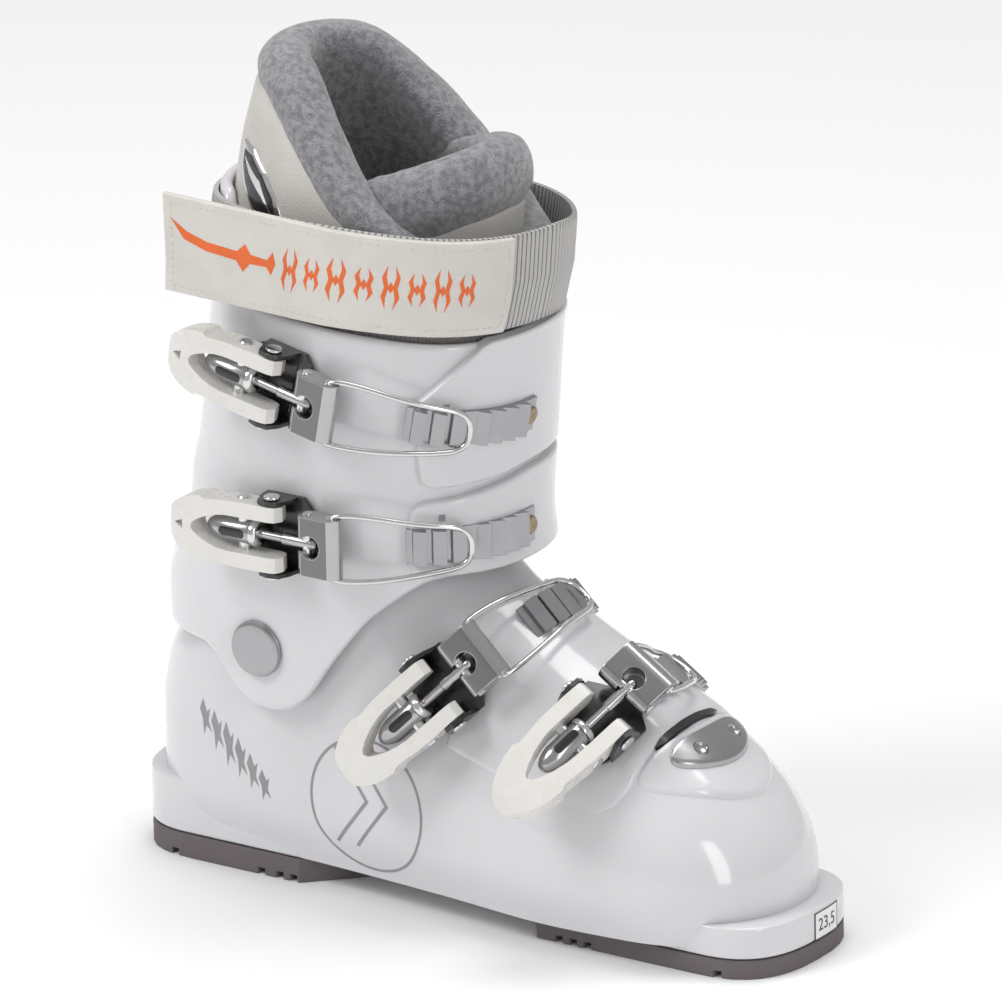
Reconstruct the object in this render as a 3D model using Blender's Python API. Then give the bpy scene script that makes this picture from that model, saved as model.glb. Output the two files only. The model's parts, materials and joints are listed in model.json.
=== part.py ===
"""Alpine ski boot for the right foot, as an assembly of its separate pieces.

Run it with: blender --background --python part.py

Sizes are in millimetres and are turned into metres when a mesh is made. The boot is drawn in its own
frame: X runs from the back of the heel (0) to the toe, Y is 0 in the middle plane and negative on the
outer side, where the buckles are, and Z is 0 on the ground. One empty then moves everything so that
the origin lies at the bottom centre of the bounding box.
"""

import math
from typing import NamedTuple

import bmesh
import bpy
from mathutils import Matrix, Vector
from mathutils.bvhtree import BVHTree

MM = 0.001
CLEARANCE = 0.4

# Sole
SOLE_LENGTH = 274.0
TOE_LUG_HALF_WIDTH = 34.5
TOE_LUG_HEIGHT = 19.0
TOE_LUG_REACH = 96.0
HEEL_LUG_HALF_WIDTH = 34.0
HEEL_LUG_HEIGHT = 30.0
HEEL_LUG_REACH = 76.0
TOE_PAD_THICKNESS = 7.0
HEEL_PAD_THICKNESS = 9.0
HEEL_PAD_NOSE = 22.0
TREAD_DEPTH = 2.5
GROOVE_WIDTH = 3.0
LUG_OVERHANG = 8.0

# Lower shell
SHELL_WALL = 5.0
SHELL_ROOF = 4.0
SHELL_FLOOR = 6.0
SHELL_RIM_HEIGHT = 128.0
SHELL_BASE_HEIGHT = 9.6
SIDE_START_HEIGHT = 22.0
SHELL_RING_POINTS = 40
LINER_RING_POINTS = 24
DOME_POWER = 2.2

# Cuff and its pivot
PIVOT_X = 70.0
PIVOT_Z = 92.0
PIVOT_HEAD_RADIUS = 10.3
PIVOT_SHANK_RADIUS = 4.0
PIVOT_HEAD_THICKNESS = 2.2
CUFF_WALL = 4.0
CUFF_TOP_HEIGHT = 220.0
CUFF_POWER = 2.25
CUFF_RING_POINTS = 48
FLAP_THICKNESS = 3.0

# Liner, footbed and boot board
BOOT_BOARD_THICKNESS = 7.0
LINER_WALL = 8.0
LINER_FLOOR = 4.0
FOOTBED_THICKNESS = 4.0
LINER_FIT = 0.6
SHELL_FIT = 1.0
LINER_REAR_HEIGHT = 309.0
LINER_FRONT_HEIGHT = 246.0
TONGUE_THICKNESS = 8.0
TONGUE_HALF_ANGLE = 58.0
TONGUE_TOP_HEIGHT = 276.0
TONGUE_SHOULDER = 14.0


def smooth(value):
    """Smoothstep of value, clamped to 0 and 1."""
    value = min(1.0, max(0.0, value))
    return value * value * (3.0 - 2.0 * value)


def along(knots, x):
    """Monotone cubic interpolation through (x, y) knots, flat beyond the first and the last."""
    if x <= knots[0][0]:
        return knots[0][1]
    if x >= knots[-1][0]:
        return knots[-1][1]
    slopes = [
        (knots[i + 1][1] - knots[i][1]) / (knots[i + 1][0] - knots[i][0])
        for i in range(len(knots) - 1)
    ]
    tangents = [slopes[0]]
    for left, right in zip(slopes, slopes[1:]):
        tangents.append(0.0 if left * right <= 0 else 2 * left * right / (left + right))
    tangents.append(slopes[-1])
    i = max(k for k in range(len(slopes)) if knots[k][0] <= x)
    step = knots[i + 1][0] - knots[i][0]
    s = (x - knots[i][0]) / step
    return (
        (2 * s**3 - 3 * s**2 + 1) * knots[i][1]
        + (s**3 - 2 * s**2 + s) * step * tangents[i]
        + (3 * s**2 - 2 * s**3) * knots[i + 1][1]
        + (s**3 - s**2) * step * tangents[i + 1]
    )


# ---------------------------------------------------------------- lower shell surface

TOE_TIP = SOLE_LENGTH - LUG_OVERHANG

# Back of the heel: (height, x)
HEEL_BACK = [
    (9, 8), (30, 4), (47, 4), (57, 4), (67, 5.5), (78, 9), (86, 16), (100, 20), (118, 24), (132, 28),
]
# Half width below the one height and above the other, as (x, half width)
HALF_WIDTH_LOW_HEIGHT = 45.0
HALF_WIDTH_HIGH_HEIGHT = 88.0
HALF_WIDTH_LOW = [
    (0, 34), (40, 37), (90, 39.5), (TOE_TIP - 126, 44), (TOE_TIP - 76, 49.5), (TOE_TIP - 41, 47),
    (TOE_TIP + 2, 38),
]
HALF_WIDTH_HIGH = [
    (0, 31), (50, 38.5), (100, 40.5), (TOE_TIP - 126, 41), (TOE_TIP - 76, 46), (TOE_TIP - 41, 44),
    (TOE_TIP + 2, 36),
]
# Top line of the instep and the toe: (x, height)
TOP_LINE = [
    (70, 310), (100, 208), (118, 158), (130, 138), (140, 126), (150, 117.5), (TOE_TIP - 98, 107),
    (TOE_TIP - 82, 98), (TOE_TIP - 61, 88), (TOE_TIP - 48, 81), (TOE_TIP - 34, 71), (TOE_TIP - 23, 63.5),
    (TOE_TIP - 14.5, 56), (TOE_TIP - 8, 49.5), (TOE_TIP - 3.5, 43), (TOE_TIP - 1, 37), (TOE_TIP, 30),
]
HEEL_ROUNDING = 38.0
TOE_ROUNDING = 46.0
PLAN_POWER = 2.3
TUCK_SHARE = 0.16
TUCK_START = 4.0
TUCK_RISE = 26.0


def top_line_x(height):
    """X at which the top line comes down to this height."""
    if height <= TOP_LINE[-1][1]:
        return TOE_TIP
    low, high = TOP_LINE[0][0], TOE_TIP
    for _ in range(40):
        middle = (low + high) / 2
        if along(TOP_LINE, middle) > height:
            low = middle
        else:
            high = middle
    return low


def shell_half_width(x, z):
    """Half width of the lower shell's outer surface at x and height z."""
    back = along(HEEL_BACK, z)
    blend = smooth((z - HALF_WIDTH_LOW_HEIGHT) / (HALF_WIDTH_HIGH_HEIGHT - HALF_WIDTH_LOW_HEIGHT))
    width = (1 - blend) * along(HALF_WIDTH_LOW, x) + blend * along(HALF_WIDTH_HIGH, x)
    tuck = 1.0 - TUCK_SHARE * (1.0 - smooth((z - TUCK_START) / TUCK_RISE))
    heel = max(0.0, 1.0 - (x - back) / HEEL_ROUNDING)
    toe = max(0.0, 1.0 - (TOE_TIP - x) / TOE_ROUNDING)
    ends = 1.0
    for end in (heel, toe):
        ends *= max(0.0, 1 - end**PLAN_POWER) ** (1 / PLAN_POWER)
    rise = max(0.0, (z - SIDE_START_HEIGHT) / (along(TOP_LINE, x) - SIDE_START_HEIGHT))
    dome = max(0.0, 1 - min(1.0, rise) ** DOME_POWER) ** (1 / DOME_POWER)
    return width * tuck * ends * dome


def shell_ring(z, count=SHELL_RING_POINTS):
    """Outline of the lower shell at height z, as (x, y) pairs from the toe past the outer side."""
    back, front = along(HEEL_BACK, z), top_line_x(z)
    ring = []
    for k in range(count):
        angle = 2 * math.pi * k / count
        x = (back + front) / 2 + (front - back) / 2 * math.cos(angle)
        side = -1 if angle < math.pi else 1
        ring.append((x, side * shell_half_width(x, z) if k % (count // 2) else 0.0))
    return ring


# ---------------------------------------------------------------- cuff surface

# (height, x of the back), (height, x of the front) and (height, half width)
CUFF_BACK = [
    (60, 9), (88, 8.5), (101, 8.5), (118, 13), (136, 20), (148, 21.5), (160, 25), (205, 31.5), (230, 34),
    (260, 38), (310, 50),
]
CUFF_FRONT = [
    (60, 150), (88, 152), (124, 153.5), (140, 151.5), (165, 153), (205, 156), (235, 163), (262, 165),
]
CUFF_HALF_WIDTH = [(60, 46.5), (92, 47), (140, 49), (205, 50.5), (260, 49), (310, 40)]
# Lower edge along either side: (x, height)
CUFF_LOWER_EDGE = [
    (30, 87), (41, 87.5), (46, 86), (53, 80.5), (60, 73), (66, 70), (73, 69), (80, 70), (88, 74.5),
    (94, 81.5), (100, 90), (107, 99), (115, 108.5), (125, 117), (137, 125), (146, 127),
]


def superellipse(angle, power):
    """Cosine and sine raised so that they trace a superellipse of this power."""
    c, s = math.cos(angle), math.sin(angle)
    return math.copysign(abs(c) ** (2 / power), c), math.copysign(abs(s) ** (2 / power), s)


def cuff_point(degrees, z, offset=0.0):
    """Point on the cuff's surface, moved outwards by offset: 0 degrees is the front, 90 the outer side."""
    c, s = superellipse(math.radians(degrees), CUFF_POWER)
    back, front, half = along(CUFF_BACK, z), along(CUFF_FRONT, z), along(CUFF_HALF_WIDTH, z)
    centre, radius = (back + front) / 2, (front - back) / 2
    return Vector((centre + (radius + offset) * c, -(half + offset) * s, z))


# ---------------------------------------------------------------- making objects

def rings_to_mesh(rings, wrap=False):
    """Closed bmesh through rings of equal length, capped at both ends or wrapped round to the first."""
    mesh = bmesh.new()
    loops = [[mesh.verts.new(point) for point in ring] for ring in rings]
    pairs = list(zip(loops, loops[1:]))
    if wrap:
        pairs.append((loops[-1], loops[0]))
    else:
        mesh.faces.new(loops[0])
        mesh.faces.new(loops[-1])
    for low, high in pairs:
        for k in range(len(low)):
            after = (k + 1) % len(low)
            mesh.faces.new((low[k], low[after], high[after], high[k]))
    bmesh.ops.recalc_face_normals(mesh, faces=mesh.faces)
    return mesh


def prism(outline, low, high, place=Matrix.Identity(4)):
    """Outline of (x, y) points extruded from z = low to z = high, then placed."""
    rings = [[place @ Vector((x, y, z)) for x, y in outline] for z in (low, high)]
    return rings_to_mesh(rings)


def turned(profile, place=Matrix.Identity(4), sides=16):
    """Solid turned about its z axis from (z, radius) pairs, then placed."""
    rings = []
    for z, radius in profile:
        angles = [2 * math.pi * k / sides for k in range(sides)]
        rings.append([place @ Vector((radius * math.cos(a), radius * math.sin(a), z)) for a in angles])
    return rings_to_mesh(rings)


def tube(path, radius, sides=6):
    """Round bar along a path of points."""
    rings = []
    side = None
    for i, point in enumerate(path):
        before = path[max(0, i - 1)]
        after = path[min(len(path) - 1, i + 1)]
        ahead = (after - before).normalized()
        side = ahead.orthogonal() if side is None else side - ahead * side.dot(ahead)
        side.normalize()
        up = ahead.cross(side)
        angles = [2 * math.pi * k / sides for k in range(sides)]
        rings.append([point + radius * (side * math.cos(a) + up * math.sin(a)) for a in angles])
    return rings_to_mesh(rings)


SHARP_ANGLE = math.radians(35)
ORIGIN = Vector((HEEL_LUG_REACH / 2, 0.0, 0.0))
FINISHES = {
    "white_plastic": ((0.80, 0.80, 0.83), 0.22, 0.0),
    "warm_white_plastic": ((0.79, 0.76, 0.71), 0.35, 0.0),
    "black_plastic": ((0.015, 0.014, 0.015), 0.35, 0.0),
    "rubber": ((0.14, 0.12, 0.125), 0.8, 0.0),
    "silver": ((0.42, 0.41, 0.43), 0.35, 0.8),
    "steel": ((0.35, 0.34, 0.35), 0.25, 1.0),
    "dark_steel": ((0.15, 0.14, 0.145), 0.35, 0.9),
    "bronze": ((0.45, 0.34, 0.22), 0.35, 0.9),
    "liner_leather": ((0.72, 0.69, 0.64), 0.55, 0.0),
    "fleece": ((0.22, 0.22, 0.24), 0.95, 0.0),
    "webbing": ((0.55, 0.54, 0.53), 0.85, 0.0),
    "foam": ((0.25, 0.25, 0.27), 0.9, 0.0),
}


def finish(name):
    """Material of this finish, made once."""
    material = bpy.data.materials.get(name)
    if material is None:
        colour, roughness, metallic = FINISHES[name]
        material = bpy.data.materials.new(name)
        material.use_nodes = True
        shader = material.node_tree.nodes["Principled BSDF"]
        shader.inputs["Base Color"].default_value = (*colour, 1.0)
        shader.inputs["Roughness"].default_value = roughness
        shader.inputs["Metallic"].default_value = metallic
    return material


def pivot(name, point, parent=None):
    """Empty at this point in boot millimetres, which carries the pieces of one moving body."""
    empty = bpy.data.objects.new(name, None)
    bpy.context.scene.collection.objects.link(empty)
    empty["place"] = list(point)
    start = ORIGIN if parent is None else Vector(parent["place"])
    empty.location = (Vector(point) - start) * MM
    empty.parent = parent
    return empty


def add(name, mesh, material, parent):
    """Object of this bmesh, drawn in boot millimetres, under the pivot that carries it."""
    place = Vector(parent["place"])
    for vert in mesh.verts:
        vert.co = (vert.co - place) * MM
    data = bpy.data.meshes.new(name)
    mesh.to_mesh(data)
    mesh.free()
    data.shade_smooth()
    data.set_sharp_from_angle(angle=SHARP_ANGLE)
    data.materials.append(finish(material))
    made = bpy.data.objects.new(name, data)
    bpy.context.scene.collection.objects.link(made)
    made.parent = parent
    return made


def combine(target, operation, mesh):
    """Boolean of target with a helper made of this bmesh."""
    name = f"{target.name}_{operation.lower()}_{len(target.modifiers)}"
    helper = add(name, mesh, "black_plastic", target.parent)
    helper.hide_render = True
    helper.display_type = "WIRE"
    modifier = target.modifiers.new(operation.title(), "BOOLEAN")
    modifier.operation = operation
    modifier.object = helper


def cylinder_between(start, end, radius, sides=16):
    """Round bar from start to end."""
    ahead = (end - start).normalized()
    place = Matrix.Translation(start) @ ahead.to_track_quat("Z", "Y").to_matrix().to_4x4()
    return turned([(0, radius), ((end - start).length, radius)], place, sides)


# ---------------------------------------------------------------- sole and lower shell

LUG_POWER = 2.6
LUG_ROUNDING = 29.0


def lug_outline(tip, root, half_width, inset=0.0):
    """Plan of a sole lug: round at its tip and square at its root."""
    ahead = 1 if tip > root else -1
    centre = tip - ahead * LUG_ROUNDING
    points = [(root, -half_width + inset)]
    for k in range(17):
        c, s = superellipse(math.radians(-90 + 180 * k / 16), LUG_POWER)
        points.append((centre + ahead * (LUG_ROUNDING - inset) * c, (half_width - inset) * s))
    points.append((root, half_width - inset))
    return points


def inset_ring(ring, inset):
    """Ring of (x, y) points moved inwards by inset, square to the outline."""
    moved = []
    for k, (x, y) in enumerate(ring):
        (x0, y0), (x1, y1) = ring[k - 1], ring[(k + 1) % len(ring)]
        along_x, along_y = x1 - x0, y1 - y0
        size = math.hypot(along_x, along_y)
        moved.append((x + inset * along_y / size, y - inset * along_x / size))
    return moved


def shell_layer(z, depth=0.0, rise=0.0, count=SHELL_RING_POINTS):
    """Ring inside the lower shell's outer surface: depth is measured sideways and rise down from above."""
    ring = shell_ring(z + rise, count)
    if depth:
        ring = inset_ring(ring, depth)
    return [Vector((x, y, z)) for x, y in ring]


def shell_top(x, y):
    """Height of the lower shell's outer surface over the point (x, y)."""
    width = along(HALF_WIDTH_HIGH, x)
    share = max(0.0, 1 - min(1.0, abs(y) / width) ** DOME_POWER) ** (1 / DOME_POWER)
    return SIDE_START_HEIGHT + (along(TOP_LINE, x) - SIDE_START_HEIGHT) * share


OUTER_HEIGHTS = [14, 20, 28, 38, 46, 54, 61, 68, 75, 82, 89, 97, 106, 117, SHELL_RIM_HEIGHT]
INNER_HEIGHTS = [SHELL_RIM_HEIGHT + 2, 112, 97, 84, 72, 60, 48, 36, 25]
INSTEP_FLAP = {
    "back": 158.0,
    "back_sweep": 14.0,
    "front": 222.0,
    "outer": 24.0,
    "inner": 150.0,
    "rise": 3.0,
}
BOSS = {"centre": TOE_TIP - 28.0, "reach": 14.0, "half_width": 30.0, "rise": 2.0}
TOE_PLATE = {"centre": TOE_TIP - 31.5, "reach": 7.0, "half_width": 20.0, "thickness": 1.8}
LENS_SWEEP = 0.0125
LENS_TIP_SHARE = 0.03
ROOT_DEPTH = 2.0


def instep_flap():
    """Outer lip of the lower shell's overlap, laid on the instep."""
    rings = []
    steps = 10
    outer, inner = INSTEP_FLAP["outer"], INSTEP_FLAP["inner"]
    for k in range(steps + 1):
        lower, upper = [], []
        for j in range(13):
            degrees = outer + (inner - outer) * j / 12
            back = INSTEP_FLAP["back"] - INSTEP_FLAP["back_sweep"] * min(1.0, abs(degrees - 90) / 35)
            x = back + (INSTEP_FLAP["front"] - back) * k / steps
            width = along(HALF_WIDTH_HIGH, x)
            height = along(TOP_LINE, x) - SIDE_START_HEIGHT
            c, s = superellipse(math.radians(degrees), DOME_POWER)
            for offset, row in ((-ROOT_DEPTH, lower), (INSTEP_FLAP["rise"], upper)):
                row.append(Vector((x, -(width + offset) * c, SIDE_START_HEIGHT + (height + offset) * s)))
        rings.append(lower + upper[::-1])
    return rings_to_mesh(rings)


def lens_on_toe(centre, reach, half_width, low, high, steps=12):
    """Lens-shaped plate across the toe, swept back, from low to high above the shell's surface."""
    rings = []
    for k in range(steps + 1):
        y = half_width * (-1 + 2 * k / steps)
        half = reach * math.sqrt(max(LENS_TIP_SHARE, 1 - (y / half_width) ** 2))
        ring = []
        for x, lift in ((-half, low), (0, low), (half, low), (half, high), (0, high), (-half, high)):
            x += centre - LENS_SWEEP * y * y
            ring.append(Vector((x, y, shell_top(x, y) + lift)))
        rings.append(ring)
    return rings_to_mesh(rings)


def pivot_hole():
    """Bar right through both sides of the ankle, as wide as the hole for the cuff's pivots."""
    reach = Vector((0, along(CUFF_HALF_WIDTH, PIVOT_Z) + CUFF_WALL, 0))
    centre = Vector((PIVOT_X, 0, PIVOT_Z))
    return cylinder_between(centre - reach, centre + reach, PIVOT_SHANK_RADIUS + CLEARANCE)


def make_lower_shell(root):
    """Lower shell with its two sole lugs, the instep overlap and the toe boss."""
    rings = [shell_layer(z) for z in (SHELL_BASE_HEIGHT, *OUTER_HEIGHTS)]
    shell = add("lower_shell", rings_to_mesh(rings), "white_plastic", root)
    toe = lug_outline(SOLE_LENGTH, SOLE_LENGTH - TOE_LUG_REACH, TOE_LUG_HALF_WIDTH)
    combine(shell, "UNION", prism(toe, TOE_PAD_THICKNESS + CLEARANCE, TOE_LUG_HEIGHT))
    heel = lug_outline(0.0, HEEL_LUG_REACH, HEEL_LUG_HALF_WIDTH)
    combine(shell, "UNION", prism(heel, HEEL_PAD_THICKNESS + CLEARANCE, HEEL_LUG_HEIGHT))
    combine(shell, "UNION", instep_flap())
    boss = lens_on_toe(BOSS["centre"], BOSS["reach"], BOSS["half_width"], -ROOT_DEPTH, BOSS["rise"])
    combine(shell, "UNION", boss)
    cavity_heights = (SHELL_BASE_HEIGHT + SHELL_FLOOR, *INNER_HEIGHTS[::-1])
    cavity = [shell_layer(z, SHELL_WALL, SHELL_ROOF) for z in cavity_heights]
    combine(shell, "DIFFERENCE", rings_to_mesh(cavity))
    combine(shell, "DIFFERENCE", pivot_hole())
    return shell


def make_sole(root):
    """Toe and heel pads with grooves across their treads."""
    toe = lug_outline(SOLE_LENGTH, SOLE_LENGTH - TOE_LUG_REACH, TOE_LUG_HALF_WIDTH)
    heel = lug_outline(0.0, HEEL_LUG_REACH, HEEL_LUG_HALF_WIDTH)
    nose = HEEL_LUG_REACH + HEEL_PAD_NOSE
    heel = [(nose, -12.0), *heel, (nose, 12.0)]
    pads = (
        ("toe_pad", toe, TOE_PAD_THICKNESS, (186, 192, 198, 252)),
        ("heel_pad", heel, HEEL_PAD_THICKNESS, (20, 58, 66, 72)),
    )
    for name, outline, thickness, grooves in pads:
        pad = add(name, prism(outline, 0.0, thickness), "rubber", root)
        for x in grooves:
            strip = [(x, -60), (x + GROOVE_WIDTH, -60), (x + GROOVE_WIDTH, 60), (x, 60)]
            combine(pad, "DIFFERENCE", prism(strip, -1.0, TREAD_DEPTH))


def make_toe_plate(root):
    """Lens-shaped metal plate on the toe boss."""
    low = BOSS["rise"] + CLEARANCE
    high = low + TOE_PLATE["thickness"]
    plate = lens_on_toe(TOE_PLATE["centre"], TOE_PLATE["reach"], TOE_PLATE["half_width"], low, high)
    add("toe_plate", plate, "silver", root)


# ---------------------------------------------------------------- liner in the lower shell

# Rise of the liner's split towards the front, which leaves room for the cuff to lean forwards
LINER_RELIEF = math.tan(math.radians(7.5))


def make_foot_liner(root):
    """Boot board, the liner's foot and the footbed in it, one on top of the other."""
    floor = SHELL_BASE_HEIGHT + SHELL_FLOOR + CLEARANCE
    top = floor + BOOT_BOARD_THICKNESS
    depth = SHELL_WALL + SHELL_FIT
    board = [shell_layer(z, depth, SHELL_ROOF + SHELL_FIT) for z in (floor, top)]
    add("boot_board", rings_to_mesh(board), "foam", root)

    bottom = top + CLEARANCE
    inner_bottom = bottom + LINER_FLOOR
    rim = SHELL_RIM_HEIGHT - 1.0
    between = [z for z in INNER_HEIGHTS[::-1] if inner_bottom < z < rim]
    outer_heights = [bottom, *between, rim]
    inner_heights = [rim, *between[::-1], inner_bottom]
    rise = SHELL_ROOF + SHELL_FIT
    count = LINER_RING_POINTS
    rings = [shell_layer(z, depth, rise, count) for z in outer_heights]
    rings += [shell_layer(z, depth + LINER_WALL, rise + LINER_WALL, count) for z in inner_heights]
    add("liner_foot", rings_to_mesh(rings), "liner_leather", root)

    depth += LINER_WALL + LINER_FIT
    rise += LINER_WALL + LINER_FIT
    low = inner_bottom + CLEARANCE
    footbed = [shell_layer(z, depth, rise, count) for z in (low, low + FOOTBED_THICKNESS)]
    add("footbed", rings_to_mesh(footbed), "fleece", root)


# ---------------------------------------------------------------- cuff

# Top edge of the cuff: (x, height). The spine stands up behind the calf.
CUFF_TOP_EDGE = [
    (30, 256), (50, 256), (58, 242), (64, 226), (72, CUFF_TOP_HEIGHT), (90, 218), (120, 216), (150, 213), (170, 212),
]
# Overlap lips at the front: outer edge and inner edge in degrees, then bottom and top height
CUFF_LIPS = [(57.0, -60.0, 150.0, 205.0), (56.0, -60.0, 128.0, 149.0)]
LIP_ROUNDING = 10.0


def on_edge(edge, degrees, offset):
    """Point on the cuff's surface where an edge given as (x, height) crosses this direction."""
    z = 150.0
    for _ in range(8):
        z = along(edge, cuff_point(degrees, z).x)
    return cuff_point(degrees, z, offset)


def cuff_rows(shares, offset, count=CUFF_RING_POINTS):
    """Rings between the cuff's lower and upper edges, at these shares of the way up."""
    rows = []
    for share in shares:
        row = []
        for k in range(count):
            degrees = 360.0 * k / count
            low = on_edge(CUFF_LOWER_EDGE, degrees, 0).z
            high = on_edge(CUFF_TOP_EDGE, degrees, 0).z
            row.append(cuff_point(degrees, low + (high - low) * share, offset))
        rows.append(row)
    return rows


def cuff_lip(outer, inner, bottom, top):
    """Overlap lip with round outer corners, from inside the cuff's wall to proud of it."""
    rings = []
    steps = 18
    for k in range(steps + 1):
        degrees = outer + (inner - outer) * (k / steps) ** 1.3
        away = max(0.0, 1 - (outer - degrees) / LIP_ROUNDING)
        half = (top - bottom) / 2 * (1 - 0.35 * away**2)
        middle = (top + bottom) / 2
        heights = [middle - half + 2 * half * j / 3 for j in range(4)]
        low = [cuff_point(degrees, z, -ROOT_DEPTH) for z in heights]
        high = [cuff_point(degrees, z, FLAP_THICKNESS) for z in heights]
        rings.append(low + high[::-1])
    return rings_to_mesh(rings)


def make_cuff(cuff_pivot):
    """Cuff with its two overlap lips and the holes for the pivots."""
    shares = [0, 0.1, 0.22, 0.35, 0.5, 0.65, 0.8, 0.9, 1]
    rows = cuff_rows(shares, 0.0) + cuff_rows(shares[::-1], -CUFF_WALL)
    cuff = add("cuff", rings_to_mesh(rows, wrap=True), "white_plastic", cuff_pivot)
    for lip in CUFF_LIPS:
        combine(cuff, "UNION", cuff_lip(*lip))
    combine(cuff, "DIFFERENCE", pivot_hole())
    return cuff


def make_pivots(root):
    """Rivet on each side that the cuff turns on: a flat head outside and a shank into the lower shell."""
    outside = along(CUFF_HALF_WIDTH, PIVOT_Z) + CLEARANCE
    inside = along(HALF_WIDTH_HIGH, PIVOT_X) - SHELL_WALL
    for name, side in (("pivot_outer", -1), ("pivot_inner", 1)):
        place = Matrix.Translation((PIVOT_X, 0, PIVOT_Z)) @ Matrix.Rotation(-side * math.pi / 2, 4, "X")
        profile = [
            (inside, PIVOT_SHANK_RADIUS),
            (outside, PIVOT_SHANK_RADIUS),
            (outside, PIVOT_HEAD_RADIUS),
            (outside + PIVOT_HEAD_THICKNESS * 0.6, PIVOT_HEAD_RADIUS),
            (outside + PIVOT_HEAD_THICKNESS, PIVOT_HEAD_RADIUS - 1.2),
        ]
        add(name, turned(profile, place, 24), "silver", root)


# ---------------------------------------------------------------- liner in the cuff, and the power strap

# Top edge of the liner's cuff: (x, height)
LINER_TOP_EDGE = [
    (40, LINER_REAR_HEIGHT), (64, 306), (92, 288), (122, 262), (150, LINER_FRONT_HEIGHT), (170, 244),
]
STRAP_WIDTH = 35.0
WEBBING_THICKNESS = 1.8
PANEL_THICKNESS = 2.4
STRAP_FIT = 0.6
# Height of the strap's middle: (degrees round the boot, height)
STRAP_MIDDLE = [(-180, 233), (-90, 230), (-35, 230), (0, 234), (40, 236), (85, 238)]
TAIL_LENGTH = 58.0
TAIL_START = 84.0
TAIL_RISE = 0.08
PANEL_FRONT_EDGE = 12.0


def make_cuff_liner(cuff_pivot):
    """Liner above the split, which moves with the cuff, and the tongue in its throat."""
    outer_offset = -CUFF_WALL - LINER_FIT
    inner_offset = outer_offset - LINER_WALL
    split = SHELL_RIM_HEIGHT + 2.0
    shares = [0, 0.25, 0.5, 0.7, 0.88, 1]
    rows = []
    for offset, order in ((outer_offset, shares), (inner_offset, shares[::-1])):
        for share in order:
            row = []
            for k in range(36):
                degrees = 10.0 * k
                low = split + max(0.0, cuff_point(degrees, split).x - PIVOT_X) * LINER_RELIEF
                high = on_edge(LINER_TOP_EDGE, degrees, 0).z
                row.append(cuff_point(degrees, low + (high - low) * share, offset))
            rows.append(row)
    add("liner_cuff", rings_to_mesh(rows, wrap=True), "liner_leather", cuff_pivot)

    outside = inner_offset - LINER_FIT
    bottom = split + (CUFF_FRONT[2][1] - PIVOT_X) * LINER_RELIEF
    rings = []
    for k in range(13):
        degrees = TONGUE_HALF_ANGLE * (-1 + k / 6)
        top = TONGUE_TOP_HEIGHT - TONGUE_SHOULDER * (degrees / TONGUE_HALF_ANGLE) ** 2
        heights = [bottom + (top - bottom) * j / 6 for j in range(7)]
        front = [cuff_point(degrees, z, outside) for z in heights]
        back = [cuff_point(degrees, z, outside - TONGUE_THICKNESS) for z in heights]
        rings.append(front + back[::-1])
    add("liner_tongue", rings_to_mesh(rings), "liner_leather", cuff_pivot)


def strap_ring(degrees, low, high):
    """Four corners of the strap's section in this direction, between two offsets from the cuff."""
    middle = along(STRAP_MIDDLE, degrees)
    half = STRAP_WIDTH / 2
    corners = ((-half, low), (half, low), (half, high), (-half, high))
    return [cuff_point(degrees, middle + height, offset) for height, offset in corners]


def make_power_strap(cuff_pivot):
    """Webbing right round the liner, and the panel that closes over it with a free tail."""
    low = STRAP_FIT
    high = low + WEBBING_THICKNESS
    webbing = [strap_ring(-180 + 7.5 * k, low, high) for k in range(48)]
    add("strap_webbing", rings_to_mesh(webbing, wrap=True), "webbing", cuff_pivot)

    low = high + CLEARANCE
    high = low + PANEL_THICKNESS
    count = 12
    panel = [
        strap_ring(PANEL_FRONT_EDGE + (TAIL_START - PANEL_FRONT_EDGE) * k / count, low, high)
        for k in range(count + 1)
    ]
    ahead = Vector((-1.0, -0.12, TAIL_RISE)).normalized()
    for k in range(1, 5):
        panel.append([point + ahead * TAIL_LENGTH * k / 4 for point in panel[count]])
    add("strap_panel", rings_to_mesh(panel), "liner_leather", cuff_pivot)


# ---------------------------------------------------------------- buckles

PLATE_THICKNESS = 1.6
PLATE_HEEL = 11.0
EAR_THICKNESS = 1.5
EAR_HALF_LENGTH = 7.0
EAR_HEIGHT = 13.4
SEAT_GAP = 0.9
TONGUE_REACH = 30.0
TONGUE_HALF_WIDTH = 7.5
LEVER_PIN_HEIGHT = 9.0
LEVER_PIN_RADIUS = 1.9
PIN_HEAD_RADIUS = 3.1
LEVER_LENGTH = 42.0
LEVER_HALF_WIDTH = 12.2
SLOT_HALF_WIDTH = 6.6
SLOT_END = 31.5
CRANK = 12.5
CRANK_DROP = 0.9
TRUNNION_RADIUS = 2.2
BARREL_RADIUS = 4.6
BARREL_TAIL = 15.5
BARREL_HEAD = 7.0
ROD_RADIUS = 1.8
BLOCK_START = 11.0
BLOCK_LENGTH = 17.5
BLOCK_HALF_WIDTH = 11.0
BLOCK_HALF_HEIGHT = 4.2
WIRE_SEAT_INSET = 4.2
WIRE_RADIUS = 1.1
WIRE_SPREAD = 12.8
HOOK_SPREAD = 10.4
LADDER_HALF_WIDTH = 8.6
LADDER_BASE = 2.0
LADDER_LEAD = 3.0
TOOTH_HEIGHT = 3.4
TOOTH_PITCH = 9.0
TOOTH_RAMP = 3.8
TOOTH_DROP = 2.0
HOOK_GAP = 0.9
RIVET_RADIUS = 2.3
RIVET_HEAD_RADIUS = 4.4
RIVET_DEPTH = 3.2
FIT = 0.3


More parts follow.
